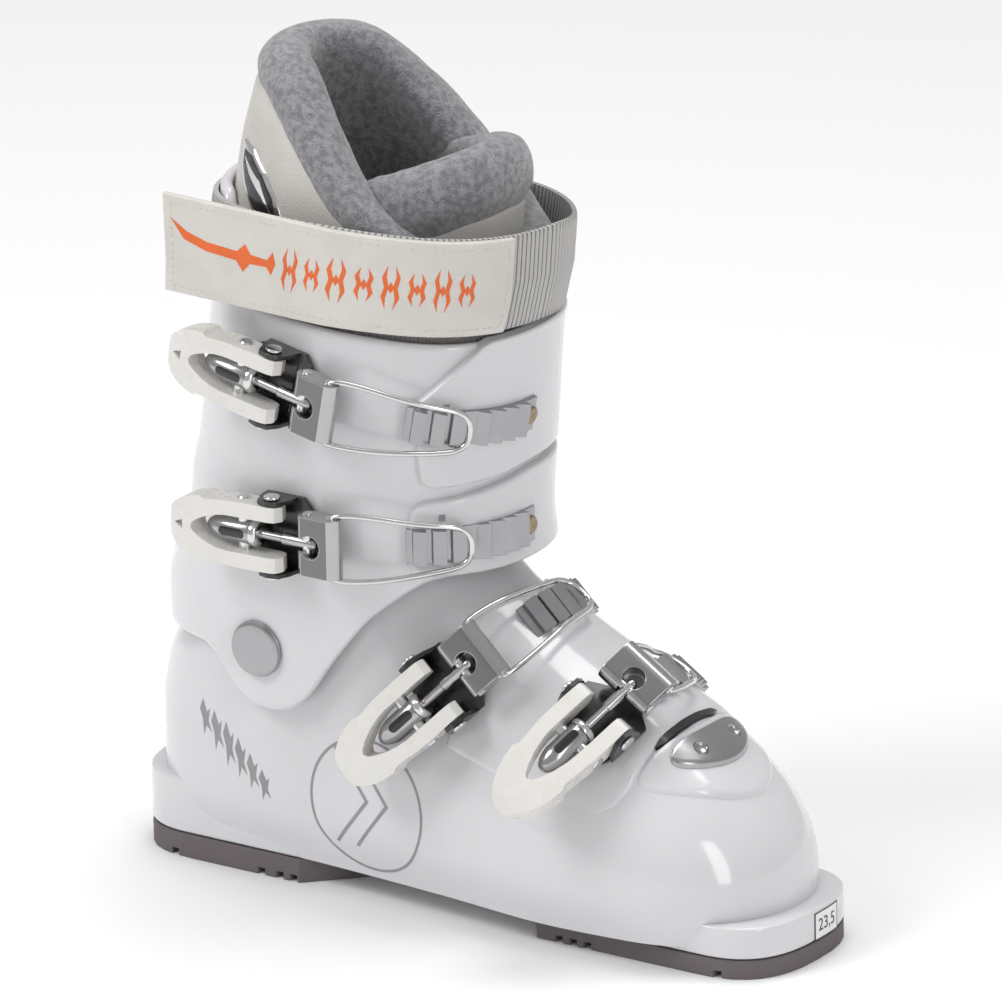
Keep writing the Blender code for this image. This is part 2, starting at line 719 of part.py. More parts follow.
class BuckleSpec(NamedTuple):
    """Where one buckle sits: its plane, and its lever's pin and its hook in that plane."""

    carrier: str
    centre: tuple
    tilt: float
    pin: tuple
    hook: tuple
    teeth_before: int
    teeth_after: int
    rivet_gap: float


BUCKLES = [
    BuckleSpec("cuff", (92.0, 194.5), -11.0, (86.0, -61.0, 196.0), (151.0, -30.0, 183.0), 2, 4, 10.0),
    BuckleSpec("cuff", (92.0, 139.8), 0.0, (85.0, -61.0, 139.8), (152.0, -30.0, 139.8), 2, 4, 10.0),
    BuckleSpec("shell", (145.0, 89.0), 46.0, (145.0, -46.0, 89.0), (168.0, 10.0, 109.0), 1, 2, 12.0),
    BuckleSpec("shell", (206.0, 89.0), 57.0, (207.5, -34.5, 87.0), (208.0, 14.0, 91.0), 1, 2, 12.0),
]


class Outline:
    """Section of a body in a buckle's plane, as a smooth convex curve measured by arc length."""

    STEP = 1.0
    HALF_WIDTH = 10.0
    BEHIND = 25.0
    RAY = 300.0
    PROBE = 20.0
    MOST_DROP = 3.5
    WINDOW = 7

    def __init__(self, body, centre, tilt):
        """Cuts the body with the plane through centre (x, z) that is tilted in degrees about the Y axis."""
        angle = math.radians(tilt)
        self.ahead = Vector((math.cos(angle), 0, math.sin(angle)))
        self.out = Vector((0, -1, 0))
        self.across = self.ahead.cross(self.out)
        self.origin = Vector((centre[0], 0, centre[1]))
        self.tree = BVHTree.FromObject(body, bpy.context.evaluated_depsgraph_get())
        self.shift = Vector(body.parent["place"])
        hits = []
        for side in (-self.HALF_WIDTH, 0.0, self.HALF_WIDTH):
            inner = self.origin - self.ahead * self.BEHIND + self.across * side
            for degrees in range(-110, 200, 2):
                turn = math.radians(degrees)
                ray = self.ahead * math.cos(turn) + self.out * math.sin(turn)
                hit = self.hit(inner + ray * self.RAY, -ray)
                if hit is not None:
                    point = hit - self.origin
                    hits.append((point.dot(self.ahead), point.dot(self.out)))
        self.points = self.resample(self.hull(hits))

    def hit(self, start, ray):
        """Where a ray meets the body, in boot millimetres, or None."""
        found = self.tree.ray_cast((start - self.shift) * MM, ray)[0]
        return None if found is None else found / MM + self.shift

    def drop(self, arc, side):
        """How far the body's surface lies below the smooth curve at this side, at its highest close by."""
        heights = []
        for near in (-4.5, -2.5, 0.0, 2.5, 4.5):
            frame = self.frame(arc + near)
            for nudge in (-0.05, 0.02):
                start = frame @ Vector((0, self.PROBE, side + nudge))
                found = self.hit(start, -frame.col[1].to_3d())
                if found is not None:
                    heights.append(self.PROBE - (found - start).length)
        highest = max(heights, default=-self.PROBE)
        beyond_edge = highest < -self.MOST_DROP and abs(side) > 1.0
        return self.drop(arc, side / 2) if beyond_edge else highest

    @staticmethod
    def hull(points):
        """Convex hull, anticlockwise, by Andrew's monotone chain."""
        points = sorted(set(points))
        chains = []
        for order in (points, points[::-1]):
            chain = []
            for p in order:
                while len(chain) > 1:
                    (ax, ay), (bx, by) = chain[-2], chain[-1]
                    if (bx - ax) * (p[1] - ay) - (by - ay) * (p[0] - ax) > 0:
                        break
                    chain.pop()
                chain.append(p)
            chains += chain[:-1]
        return chains

    def resample(self, hull):
        """Points a step apart, clockwise seen with ahead to the right and out upwards."""
        hull = hull[::-1]
        hull.append(hull[0])
        points = []
        left = 0.0
        for a, b in zip(hull, hull[1:]):
            length = math.dist(a, b)
            at = left
            while at < length:
                share = at / length
                points.append((a[0] + (b[0] - a[0]) * share, a[1] + (b[1] - a[1]) * share))
                at += self.STEP
            left = at - length
        return points

    def nearest(self, place):
        """Arc position nearest to a place in boot millimetres."""
        offset = Vector(place) - self.origin
        spot = (offset.dot(self.ahead), offset.dot(self.out))
        return min(range(len(self.points)), key=lambda k: math.dist(self.points[k], spot))

    def frame(self, arc):
        """Matrix at this arc position: x runs ahead along the surface, y out of it and z across."""
        count = len(self.points)
        low = math.floor(arc / self.STEP)
        share = arc / self.STEP - low
        a, b = self.points[low % count], self.points[(low + 1) % count]
        spot = (a[0] + (b[0] - a[0]) * share, a[1] + (b[1] - a[1]) * share)
        before = self.points[(low - self.WINDOW) % count]
        after = self.points[(low + 1 + self.WINDOW) % count]
        tangent = Vector((after[0] - before[0], after[1] - before[1])).normalized()
        ahead = self.ahead * tangent.x + self.out * tangent.y
        normal = self.across.cross(ahead)
        matrix = Matrix((ahead, normal, self.across)).transposed().to_4x4()
        matrix.translation = self.origin + self.ahead * spot[0] + self.out * spot[1]
        return matrix

    def seat(self, arc, half):
        """Heights at the two edges of a flat strip of this half width that rests on the body."""
        low, high = self.drop(arc, -half), self.drop(arc, half)
        middle = max(self.drop(arc, side) for side in (-half / 2, 0.0, half / 2))
        raised = max(0.0, middle - (low + high) / 2)
        return low + raised, high + raised

    def ribbon(self, profile, half_width):
        """Strip that lies on the body, from (arc, bottom, top) stations and a half width for each arc."""
        rings = []
        for arc, bottom, top in profile:
            frame = self.frame(arc)
            half = half_width(arc)
            low, high = self.seat(arc, half)
            corners = (
                (bottom + low, -half),
                (bottom + high, half),
                (top + high, half),
                (top + low, -half),
            )
            rings.append([frame @ Vector((0, height, side)) for height, side in corners])
        return rings_to_mesh(rings)


class Buckle:
    """One buckle: base, lever and pins, barrel, block with its rod, bail, ladder and rivet."""

    def __init__(self, number, body, carrier, spec):
        """Lays the buckle's line on the body, whose pivot is the carrier."""
        self.name = f"buckle{number}"
        self.body = body
        self.carrier = carrier
        self.spec = spec
        self.line = Outline(body, spec.centre, spec.tilt)
        self.foot = self.line.nearest(spec.pin)
        self.hook = self.line.nearest(spec.hook)
        self.local = self.line.frame(self.foot)
        self.ear_outside = LEVER_HALF_WIDTH + CLEARANCE + EAR_THICKNESS
        self.crank_height = LEVER_PIN_HEIGHT - CRANK_DROP
        self.block_end = BLOCK_START + BLOCK_LENGTH
        self.wire_seat = self.block_end - WIRE_SEAT_INSET
        before_hook = WIRE_RADIUS + HOOK_GAP + TOOTH_RAMP + TOOTH_DROP
        self.first_tooth = self.hook - before_hook - spec.teeth_before * TOOTH_PITCH

    def bar(self, s, h, half, radius, sides=10):
        """Round bar across the buckle at (s, h), this far to either side."""
        return turned([(-half, radius), (half, radius)], self.local @ Matrix.Translation((s, h, 0)), sides)

    def at(self, s, h, w=0.0):
        """Place in boot millimetres of a point in the buckle's own frame."""
        return self.local @ Vector((s, h, w))

    def make_base(self):
        """Plate along the surface with two ears for the lever's pins."""
        foot = self.foot
        tongue = min(foot + TONGUE_REACH, self.first_tooth - LADDER_LEAD - 2.0)
        heel = foot - PLATE_HEEL
        middle = (foot + 13 + tongue - 3) / 2
        arcs = [heel, foot - 4, foot + 4, foot + 9, foot + 13, middle, tongue - 3, tongue]
        plate = [(arc, SEAT_GAP, SEAT_GAP + PLATE_THICKNESS) for arc in arcs]
        widths = [
            (heel, self.ear_outside - 3),
            (foot - 4, self.ear_outside),
            (foot + 9, self.ear_outside),
            (foot + 13, TONGUE_HALF_WIDTH + 0.5),
            (tongue - 3, TONGUE_HALF_WIDTH),
            (tongue, 4),
        ]
        strip = self.line.ribbon(plate, lambda arc: along(widths, arc))
        base = add(f"{self.name}_base", strip, "black_plastic", self.carrier)
        for side in (-1, 1):
            ear_foot = self.line.drop(foot, side * self.ear_outside) + SEAT_GAP + CLEARANCE
            ear = [
                (-EAR_HALF_LENGTH, ear_foot),
                (EAR_HALF_LENGTH, ear_foot),
                (EAR_HALF_LENGTH - 1, 8),
                (4, EAR_HEIGHT - 1.1),
                (0, EAR_HEIGHT),
                (-4, EAR_HEIGHT - 1.1),
                (-EAR_HALF_LENGTH + 0.5, 6),
            ]
            low, high = sorted((side * self.ear_outside, side * (self.ear_outside - EAR_THICKNESS)))
            combine(base, "UNION", prism(ear, low, high, self.local))
        pin_hole = self.bar(0, LEVER_PIN_HEIGHT, self.ear_outside + 2, LEVER_PIN_RADIUS + FIT)
        combine(base, "DIFFERENCE", pin_hole)

    def make_pins(self):
        """Two stub pins, one through each ear and arm, so that the rod can pass between them."""
        head = self.ear_outside + FIT
        stub = [
            (SLOT_HALF_WIDTH + FIT, LEVER_PIN_RADIUS),
            (head, LEVER_PIN_RADIUS),
            (head, PIN_HEAD_RADIUS),
            (head + 1, PIN_HEAD_RADIUS - 0.2),
        ]
        for end_name, turn in (("lower", 0.0), ("upper", math.pi)):
            raised = self.local @ Matrix.Translation((0, LEVER_PIN_HEIGHT, 0))
            place = raised @ Matrix.Rotation(turn, 4, "X")
            add(f"{self.name}_{end_name}_pin", turned(stub, place, 12), "steel", self.carrier)

    def make_lever(self):
        """Slotted plate, thick at its free end, that turns on the pins."""
        lever_pivot = pivot(f"{self.name}_lever_axis", self.at(0, LEVER_PIN_HEIGHT), self.carrier)
        side_view = [
            (4.6, -2.4),
            (2.0, -4.6),
            (-10, -4.8),
            (-LEVER_LENGTH + 12, -4.4),
            (-LEVER_LENGTH + 3, -2.4),
            (-LEVER_LENGTH, 1.5),
            (-LEVER_LENGTH + 5, 4.8),
            (-LEVER_LENGTH + 16, 5.2),
            (-8, 4.6),
            (2, 4.4),
            (4.8, 1),
        ]
        side_view = [(s, LEVER_PIN_HEIGHT + h) for s, h in side_view]
        plate = prism(side_view, -LEVER_HALF_WIDTH, LEVER_HALF_WIDTH, self.local)
        lever = add(f"{self.name}_lever", plate, "warm_white_plastic", lever_pivot)
        slot = [(-SLOT_END, -20), (20, -20), (20, 40), (-SLOT_END, 40)]
        combine(lever, "DIFFERENCE", prism(slot, -SLOT_HALF_WIDTH, SLOT_HALF_WIDTH, self.local))
        through = LEVER_HALF_WIDTH + 5
        combine(lever, "DIFFERENCE", self.bar(0, LEVER_PIN_HEIGHT, through, LEVER_PIN_RADIUS + FIT))
        combine(lever, "DIFFERENCE", self.bar(-CRANK, self.crank_height, through, TRUNNION_RADIUS + FIT))
        return lever_pivot

    def make_barrel(self, lever_pivot):
        """Barrel that hangs between the lever's arms on two trunnions and takes the threaded rod."""
        barrel_pivot = pivot(f"{self.name}_barrel_axis", self.at(-CRANK, self.crank_height), lever_pivot)
        hung = self.local @ Matrix.Translation((-CRANK, self.crank_height, 0))
        ahead = hung @ Matrix.Rotation(math.pi / 2, 4, "Y")
        profile = [
            (-BARREL_TAIL, 1.6),
            (-BARREL_TAIL + 1.5, 3.2),
            (-BARREL_TAIL + 5, BARREL_RADIUS),
            (BARREL_HEAD - 2, BARREL_RADIUS),
            (BARREL_HEAD - 1.8, 3.6),
            (BARREL_HEAD, 3.4),
        ]
        barrel = add(f"{self.name}_barrel", turned(profile, ahead, 12), "silver", barrel_pivot)
        trunnion = self.bar(-CRANK, self.crank_height, LEVER_HALF_WIDTH + 0.2, TRUNNION_RADIUS)
        combine(barrel, "UNION", trunnion)
        bore = [(-BARREL_TAIL + 6, ROD_RADIUS + FIT), (BARREL_HEAD + 4, ROD_RADIUS + FIT)]
        combine(barrel, "DIFFERENCE", turned(bore, ahead, 12))
        return barrel_pivot

    def make_block(self, barrel_pivot):
        """Folded metal block on the end of the rod."""
        start = self.at(BLOCK_START, self.crank_height)
        block_pivot = pivot(f"{self.name}_block_axis", start, barrel_pivot)
        end, half = self.block_end, BLOCK_HALF_HEIGHT
        side_view = [
            (BLOCK_START, -half + 1),
            (BLOCK_START + 1, -half),
            (end - 3, -half),
            (end - 0.6, -half + 1.6),
            (end, 0),
            (end - 0.6, half - 1.6),
            (end - 3, half),
            (BLOCK_START + 1, half),
            (BLOCK_START, half - 1),
        ]
        side_view = [(s, self.crank_height + h) for s, h in side_view]
        folded = prism(side_view, -BLOCK_HALF_WIDTH, BLOCK_HALF_WIDTH, self.local)
        block = add(f"{self.name}_block", folded, "dark_steel", block_pivot)
        rod_start = self.at(-CRANK - 6, self.crank_height)
        rod_end = self.at(BLOCK_START + 3, self.crank_height)
        combine(block, "UNION", cylinder_between(rod_start, rod_end, ROD_RADIUS, 12))
        wire_hole = self.bar(self.wire_seat, self.crank_height, 2 * BLOCK_HALF_WIDTH, WIRE_RADIUS + FIT, 12)
        combine(block, "DIFFERENCE", wire_hole)
        return block_pivot

    def beside(self, arc, height, side):
        """Point over the ladder's line: height is above the surface as the ladder lies on it."""
        low, high = self.line.seat(arc, LADDER_HALF_WIDTH)
        tilt = (high - low) / (2 * LADDER_HALF_WIDTH)
        return self.line.frame(arc) @ Vector((0, height + (low + high) / 2 + tilt * side, side))

    def bail_leg(self, side):
        """One leg of the bail, from its seat in the block to the middle of the hook."""
        lift = SEAT_GAP + LADDER_BASE + 2 * FIT + WIRE_RADIUS
        seat, height = self.wire_seat, self.crank_height
        points = [
            self.at(seat, height, side * (BLOCK_HALF_WIDTH - 4)),
            self.at(seat, height, side * (WIRE_SPREAD - 1.6)),
            self.at(seat + 0.6, height, side * (WIRE_SPREAD - 0.4)),
            self.at(seat + 2.2, height + 0.2, side * WIRE_SPREAD),
        ]
        first, last = self.foot + self.block_end + 6, self.hook - 3.5
        steps = 6
        for k in range(steps + 1):
            share = k / steps
            above = lift + (height - lift) * (1 - smooth(share * 1.6)) * 0.8
            spread = WIRE_SPREAD + (HOOK_SPREAD - WIRE_SPREAD) * share
            points.append(self.beside(first + (last - first) * share, above, side * spread))
        points.append(self.beside(self.hook - 1.2, lift, side * (HOOK_SPREAD - 0.8)))
        points.append(self.beside(self.hook, lift, side * (HOOK_SPREAD - 3.2)))
        return points

    def make_bail(self, block_pivot):
        """Wire from the block's ends round behind one of the ladder's teeth."""
        seat = self.at(self.wire_seat, self.crank_height)
        bail_pivot = pivot(f"{self.name}_bail_axis", seat, block_pivot)
        path = self.bail_leg(1) + self.bail_leg(-1)[::-1]
        add(f"{self.name}_bail", tube(path, WIRE_RADIUS), "steel", bail_pivot)

    def make_ladder(self):
        """Curved rack riveted to the body at its far end."""
        low = SEAT_GAP
        floor = low + LADDER_BASE
        profile = [(self.first_tooth - LADDER_LEAD, low, floor)]
        for k in range(self.spec.teeth_before + self.spec.teeth_after + 1):
            start = self.first_tooth + k * TOOTH_PITCH
            profile += [
                (start, low, floor),
                (start + TOOTH_RAMP, low, floor + TOOTH_HEIGHT),
                (start + TOOTH_RAMP + TOOTH_DROP, low, floor),
            ]
        end = profile[-1][0] + self.spec.rivet_gap
        profile += [(end - 5, low, floor), (end + 1, low, floor), (end + 5, low, floor)]
        rounding = [(end + 1, LADDER_HALF_WIDTH), (end + 5, LADDER_HALF_WIDTH - 4)]
        strip = self.line.ribbon(profile, lambda arc: along(rounding, arc))
        ladder = add(f"{self.name}_ladder", strip, "silver", self.carrier)
        rivet = self.line.frame(end - 1.5) @ Matrix.Rotation(-math.pi / 2, 4, "X")
        hole = [(-RIVET_DEPTH - 0.8, RIVET_RADIUS + FIT), (12.0, RIVET_RADIUS + FIT)]
        combine(ladder, "DIFFERENCE", turned(hole, rivet, 12))
        combine(self.body, "DIFFERENCE", turned(hole, rivet, 12))
        head = floor + FIT
        shank = [
            (-RIVET_DEPTH, RIVET_RADIUS),
            (head, RIVET_RADIUS),
            (head, RIVET_HEAD_RADIUS),
            (head + 0.9, RIVET_HEAD_RADIUS - 0.3),
            (head + 1.6, RIVET_HEAD_RADIUS - 1.8),
        ]
        add(f"{self.name}_ladder_rivet", turned(shank, rivet, 14), "bronze", self.carrier)

    def make(self):
        """Makes every piece of the buckle, each moving one on the pivot of the piece before it."""
        self.make_base()
        self.make_pins()
        lever_pivot = self.make_lever()
        barrel_pivot = self.make_barrel(lever_pivot)
        block_pivot = self.make_block(barrel_pivot)
        self.make_bail(block_pivot)
        self.make_ladder()


# ---------------------------------------------------------------- assembly

def main():
    """Clears the scene and builds the boot."""
    for old in list(bpy.data.objects):
        bpy.data.objects.remove(old, do_unlink=True)
    root = pivot("boot", ORIGIN)
    cuff_pivot = pivot("cuff_axis", (PIVOT_X, 0.0, PIVOT_Z), root)
    shell = make_lower_shell(root)
    make_sole(root)
    make_toe_plate(root)
    make_foot_liner(root)
    cuff = make_cuff(cuff_pivot)
    make_pivots(root)
    make_cuff_liner(cuff_pivot)
    make_power_strap(cuff_pivot)
    for number, spec in enumerate(BUCKLES, 1):
        body, carrier = (cuff, cuff_pivot) if spec.carrier == "cuff" else (shell, root)
        bpy.context.view_layer.update()
        Buckle(number, body, carrier, spec).make()


main()
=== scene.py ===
"""Visual model of an alpine ski boot for the right foot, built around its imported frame.

Shapes are drawn in boot millimetres: X runs from the back of the heel (0) to the toe, Y is 0 in the
middle plane and negative on the outer side, where the buckles are, and Z is 0 on the ground.
"""

import json
import logging
import math
from dataclasses import dataclass
from enum import Enum
from typing import Callable, Iterable, Optional, Sequence

import bmesh
import bpy
from mathutils import Matrix, Vector, noise

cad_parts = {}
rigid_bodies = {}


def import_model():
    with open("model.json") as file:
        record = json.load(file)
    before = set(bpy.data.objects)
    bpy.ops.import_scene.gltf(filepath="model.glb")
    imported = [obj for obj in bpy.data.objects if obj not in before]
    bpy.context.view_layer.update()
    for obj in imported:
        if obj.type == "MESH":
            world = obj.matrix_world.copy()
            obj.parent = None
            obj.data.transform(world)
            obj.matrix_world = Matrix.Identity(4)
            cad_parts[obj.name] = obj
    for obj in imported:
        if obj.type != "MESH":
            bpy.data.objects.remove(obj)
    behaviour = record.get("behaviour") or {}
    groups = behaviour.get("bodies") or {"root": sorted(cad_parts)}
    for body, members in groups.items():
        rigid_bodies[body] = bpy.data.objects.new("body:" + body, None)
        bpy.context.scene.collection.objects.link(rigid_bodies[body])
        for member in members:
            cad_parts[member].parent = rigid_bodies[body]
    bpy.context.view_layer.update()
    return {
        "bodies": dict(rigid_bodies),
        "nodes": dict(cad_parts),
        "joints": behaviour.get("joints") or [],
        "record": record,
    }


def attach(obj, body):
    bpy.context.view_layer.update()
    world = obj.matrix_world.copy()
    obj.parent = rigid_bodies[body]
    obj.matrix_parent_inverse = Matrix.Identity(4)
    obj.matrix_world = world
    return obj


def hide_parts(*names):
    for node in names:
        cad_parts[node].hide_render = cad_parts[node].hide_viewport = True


log = logging.getLogger("ski_boot")

MM = 0.001
HEEL_TO_ORIGIN = Vector((38.0, 0.0, 0.0))
BUCKLES = ((1, "cuff", 1.0), (2, "cuff", 1.0), (3, "shell", 1.25), (4, "shell", 1.25))

Knots = Sequence[tuple[float, float]]
Points = Sequence[tuple[float, float]]
Place = Callable[[float, float, float], Vector]
Mesh = bmesh.types.BMesh


# ---------------------------------------------------------------- numbers

def smooth(value: float) -> float:
    """Smoothstep of value, clamped to 0 and 1."""
    value = min(1.0, max(0.0, value))
    return value * value * (3.0 - 2.0 * value)


def along(knots: Knots, x: float) -> float:
    """Monotone cubic interpolation through knots, flat beyond the first and the last.

    Args:
        knots: (x, y) pairs in rising x.
        x: Where to read the curve.

    Returns:
        The height of the curve at x.
    """
    if x <= knots[0][0]:
        return knots[0][1]
    if x >= knots[-1][0]:
        return knots[-1][1]
    pairs = list(zip(knots, knots[1:]))
    slopes = [(b[1] - a[1]) / (b[0] - a[0]) for a, b in pairs]
    tangents = [slopes[0]]
    for left, right in zip(slopes, slopes[1:]):
        tangents.append(0.0 if left * right <= 0 else 2 * left * right / (left + right))
    tangents.append(slopes[-1])
    i = max(k for k in range(len(slopes)) if knots[k][0] <= x)
    step = knots[i + 1][0] - knots[i][0]
    s = (x - knots[i][0]) / step
    rise = (3 * s**2 - 2 * s**3) * (knots[i + 1][1] - knots[i][1])
    bend = (s**3 - 2 * s**2 + s) * tangents[i] + (s**3 - s**2) * tangents[i + 1]
    return knots[i][1] + rise + step * bend


def superellipse(angle: float, power: float) -> tuple[float, float]:
    """Cosine and sine raised so that they trace a superellipse of this power."""
    c, s = math.cos(angle), math.sin(angle)
    return math.copysign(abs(c) ** (2 / power), c), math.copysign(abs(s) ** (2 / power), s)


def arc_points(centre: tuple[float, float], radii: tuple[float, float], start: float, end: float,
               steps: int) -> list[tuple[float, float]]:
    """Points on an elliptical arc, from start to end in degrees."""
    turns = [math.radians(start + (end - start) * k / steps) for k in range(steps + 1)]
    return [(centre[0] + radii[0] * math.cos(t), centre[1] + radii[1] * math.sin(t)) for t in turns]


# ---------------------------------------------------------------- forms of the boot

@dataclass(frozen=True)
class ShellForm:
    """Outer surface of the lower shell."""

    toe_tip: float = 266.0
    side_start: float = 22.0
    low_height: float = 45.0
    high_height: float = 88.0
    heel_rounding: float = 38.0
    toe_rounding: float = 46.0
    plan_power: float = 2.3
    dome_power: float = 2.2
    back: Knots = ((9, 8), (30, 4), (47, 4), (57, 4), (67, 5.5), (78, 9), (86, 16), (100, 20),
                   (118, 24), (132, 28))
    low: Knots = ((0, 34), (40, 37), (90, 39.5), (140, 44), (190, 49.5), (225, 47), (268, 38))
    high: Knots = ((0, 31), (50, 38.5), (100, 40.5), (140, 41), (190, 46), (225, 44), (268, 36))
    top: Knots = ((70, 310), (100, 208), (118, 158), (130, 138), (140, 126), (150, 117.5), (168, 107),
                  (184, 98), (205, 88), (218, 81), (232, 71), (243, 63.5), (251.5, 56), (258, 49.5),
                  (262.5, 43), (265, 37), (266, 30))

    def top_x(self, height: float) -> float:
        """X at which the top line comes down to this height."""
        if height <= self.top[-1][1]:
            return self.toe_tip
        low, high = self.top[0][0], self.toe_tip
        for _ in range(30):
            middle = (low + high) / 2
            if along(self.top, middle) > height:
                low = middle
            else:
                high = middle
        return low

    def half_width(self, x: float, z: float) -> float:
        """Half width of the surface at x and height z."""
        back = along(self.back, z)
        share = smooth((z - self.low_height) / (self.high_height - self.low_height))
        width = (1 - share) * along(self.low, x) + share * along(self.high, x)
        tuck = 1.0 - 0.16 * (1.0 - smooth((z - 4.0) / 26.0))
        ends = 1.0
        for end in (1 - (x - back) / self.heel_rounding, 1 - (self.toe_tip - x) / self.toe_rounding):
            ends *= max(0.0, 1 - max(0.0, end) ** self.plan_power) ** (1 / self.plan_power)
        rise = max(0.0, (z - self.side_start) / (along(self.top, x) - self.side_start))
        dome = max(0.0, 1 - min(1.0, rise) ** self.dome_power) ** (1 / self.dome_power)
        return width * tuck * ends * dome

    def ring(self, z: float, count: int, inset: float = 0.0) -> list[Vector]:
        """Outline at height z, drawn in by inset, going round from the toe past the outer side."""
        back, front = along(self.back, z), self.top_x(z)
        points = []
        for k in range(count):
            angle = 2 * math.pi * k / count
            x = (back + front) / 2 + (front - back) / 2 * math.cos(angle)
            side = -1 if angle < math.pi else 1
            y = side * self.half_width(x, z) if k % (count // 2) else 0.0
            points.append(Vector((x, y, z)))
        if not inset:
            return points
        moved = []
        for k, point in enumerate(points):
            ahead = points[(k + 1) % count] - points[k - 1]
            ahead.z = 0.0
            ahead.normalize()
            moved.append(point + Vector((ahead.y, -ahead.x, 0.0)) * inset)
        return moved

    def over(self, x: float, y: float) -> float:
        """Height of the surface over the point (x, y)."""
        width = along(self.high, x)
        share = max(0.0, 1 - min(1.0, abs(y) / width) ** self.dome_power) ** (1 / self.dome_power)
        return self.side_start + (along(self.top, x) - self.side_start) * share

    def on_top(self, x: float, degrees: float, lift: float) -> Vector:
        """Point over the instep at x: 90 degrees is the top line and 0 the outer side."""
        c, s = superellipse(math.radians(degrees), self.dome_power)
        width = along(self.high, x)
        height = along(self.top, x) - self.side_start
        return Vector((x, -(width + lift) * c, self.side_start + (height + lift) * s))

    def on_side(self, x: float, z: float, lift: float) -> Vector:
        """Point on the outer side at x and height z, moved outwards by lift."""
        return Vector((x, -self.half_width(x, z) - lift, z))


@dataclass(frozen=True)
class CuffForm:
    """Outer surface of the cuff, carried on upwards for the liner and the strap."""

    power: float = 2.25
    back: Knots = ((60, 9), (88, 8.5), (101, 8.5), (118, 13), (136, 20), (148, 21.5), (160, 25),
                   (205, 31.5), (230, 34), (260, 38), (310, 50))
    front: Knots = ((60, 150), (88, 152), (124, 153.5), (140, 151.5), (165, 153), (205, 156),
                    (235, 163), (262, 165))
    half: Knots = ((60, 46.5), (92, 47), (140, 49), (205, 50.5), (260, 49), (310, 40))
    lower_edge: Knots = ((30, 87), (41, 87.5), (46, 86), (53, 80.5), (60, 73), (66, 70), (73, 69),
                         (80, 70), (88, 74.5), (94, 81.5), (100, 90), (107, 99), (115, 108.5),
                         (125, 117), (137, 125), (146, 127))
    top_edge: Knots = ((30, 256), (50, 256), (58, 242), (64, 226), (72, 220), (90, 218), (120, 216),
                       (150, 213), (170, 212))

    def point(self, degrees: float, z: float, offset: float = 0.0) -> Vector:
        """Point on the surface, moved outwards by offset: 0 degrees is the front, 90 the outer side."""
        c, s = superellipse(math.radians(degrees), self.power)
        back, front, half = along(self.back, z), along(self.front, z), along(self.half, z)
        reach = (front - back) / 2 + offset
        return Vector(((back + front) / 2 + reach * c, -(half + offset) * s, z))

    def edge_height(self, edge: Knots, degrees: float) -> float:
        """Height at which an edge given as (x, height) crosses this direction."""
        z = 150.0
        for _ in range(8):
            z = along(edge, self.point(degrees, z).x)
        return z


SHELL = ShellForm()
CUFF = CuffForm()


# ---------------------------------------------------------------- meshes

def grid(columns: int, rows: int, place: Callable[[float, float], Vector], around: bool = False,
         over: bool = False) -> Mesh:
    """Grid laid on a surface.

    Args:
        columns: Segments along u.
        rows: Segments along v.
        place: Turns u and v, each from 0 to 1, into boot millimetres.
        around: Whether u closes on itself.
        over: Whether v closes on itself.

    Returns:
        The mesh, with u and v as its UV map, and its open ends filled where u closes.
    """
    mesh = bmesh.new()
    bmesh.ops.create_grid(mesh, x_segments=columns, y_segments=rows, size=0.5)
    layer = mesh.loops.layers.uv.new("UVMap")
    for face in mesh.faces:
        for loop in face.loops:
            loop[layer].uv = (loop.vert.co.x + 0.5, loop.vert.co.y + 0.5)
    for vert in mesh.verts:
        vert.co = place(vert.co.x + 0.5, vert.co.y + 0.5)
    if around or over:
        bmesh.ops.remove_doubles(mesh, verts=mesh.verts, dist=0.002)
        open_edges = [edge for edge in mesh.edges if edge.is_boundary]
        if open_edges:
            bmesh.ops.holes_fill(mesh, edges=open_edges)
        bmesh.ops.recalc_face_normals(mesh, faces=mesh.faces)
    return mesh


def plate(outline: Points, low: float, high: float, place: Optional[Matrix] = None) -> Mesh:
    """Flat outline extruded from z = low to z = high, then placed."""
    mesh = bmesh.new()
    mesh.faces.new([mesh.verts.new((x, y, low)) for x, y in outline])
    raised = bmesh.ops.extrude_face_region(mesh, geom=mesh.faces[:])["geom"]
    lifted = [item for item in raised if isinstance(item, bmesh.types.BMVert)]
    bmesh.ops.translate(mesh, vec=(0, 0, high - low), verts=lifted)
    bmesh.ops.recalc_face_normals(mesh, faces=mesh.faces)
    if place is not None:
        bmesh.ops.transform(mesh, matrix=place, verts=mesh.verts)
    return mesh


def turned(profile: Points, place: Matrix, steps: int = 32) -> Mesh:
    """Solid turned about its z axis from (z, radius) pairs, then placed."""
    mesh = bmesh.new()
    verts = [mesh.verts.new((radius, 0, z)) for z, radius in profile]
    edges = [mesh.edges.new(pair) for pair in zip(verts, verts[1:])]
    bmesh.ops.spin(mesh, geom=verts + edges, cent=(0, 0, 0), axis=(0, 0, 1), angle=2 * math.pi,
                   steps=steps, use_merge=True)
    bmesh.ops.remove_doubles(mesh, verts=mesh.verts, dist=0.001)
    bmesh.ops.recalc_face_normals(mesh, faces=mesh.faces)
    bmesh.ops.transform(mesh, matrix=place, verts=mesh.verts)
    return mesh


def bevelled(mesh: Mesh, edges: list, width: float, segments: int) -> None:
    """Bevels these edges of a mesh."""
    bmesh.ops.bevel(mesh, geom=edges, offset=width, offset_type="OFFSET", segments=segments, profile=0.5,
                    affect="EDGES", clamp_overlap=True, material=-1)


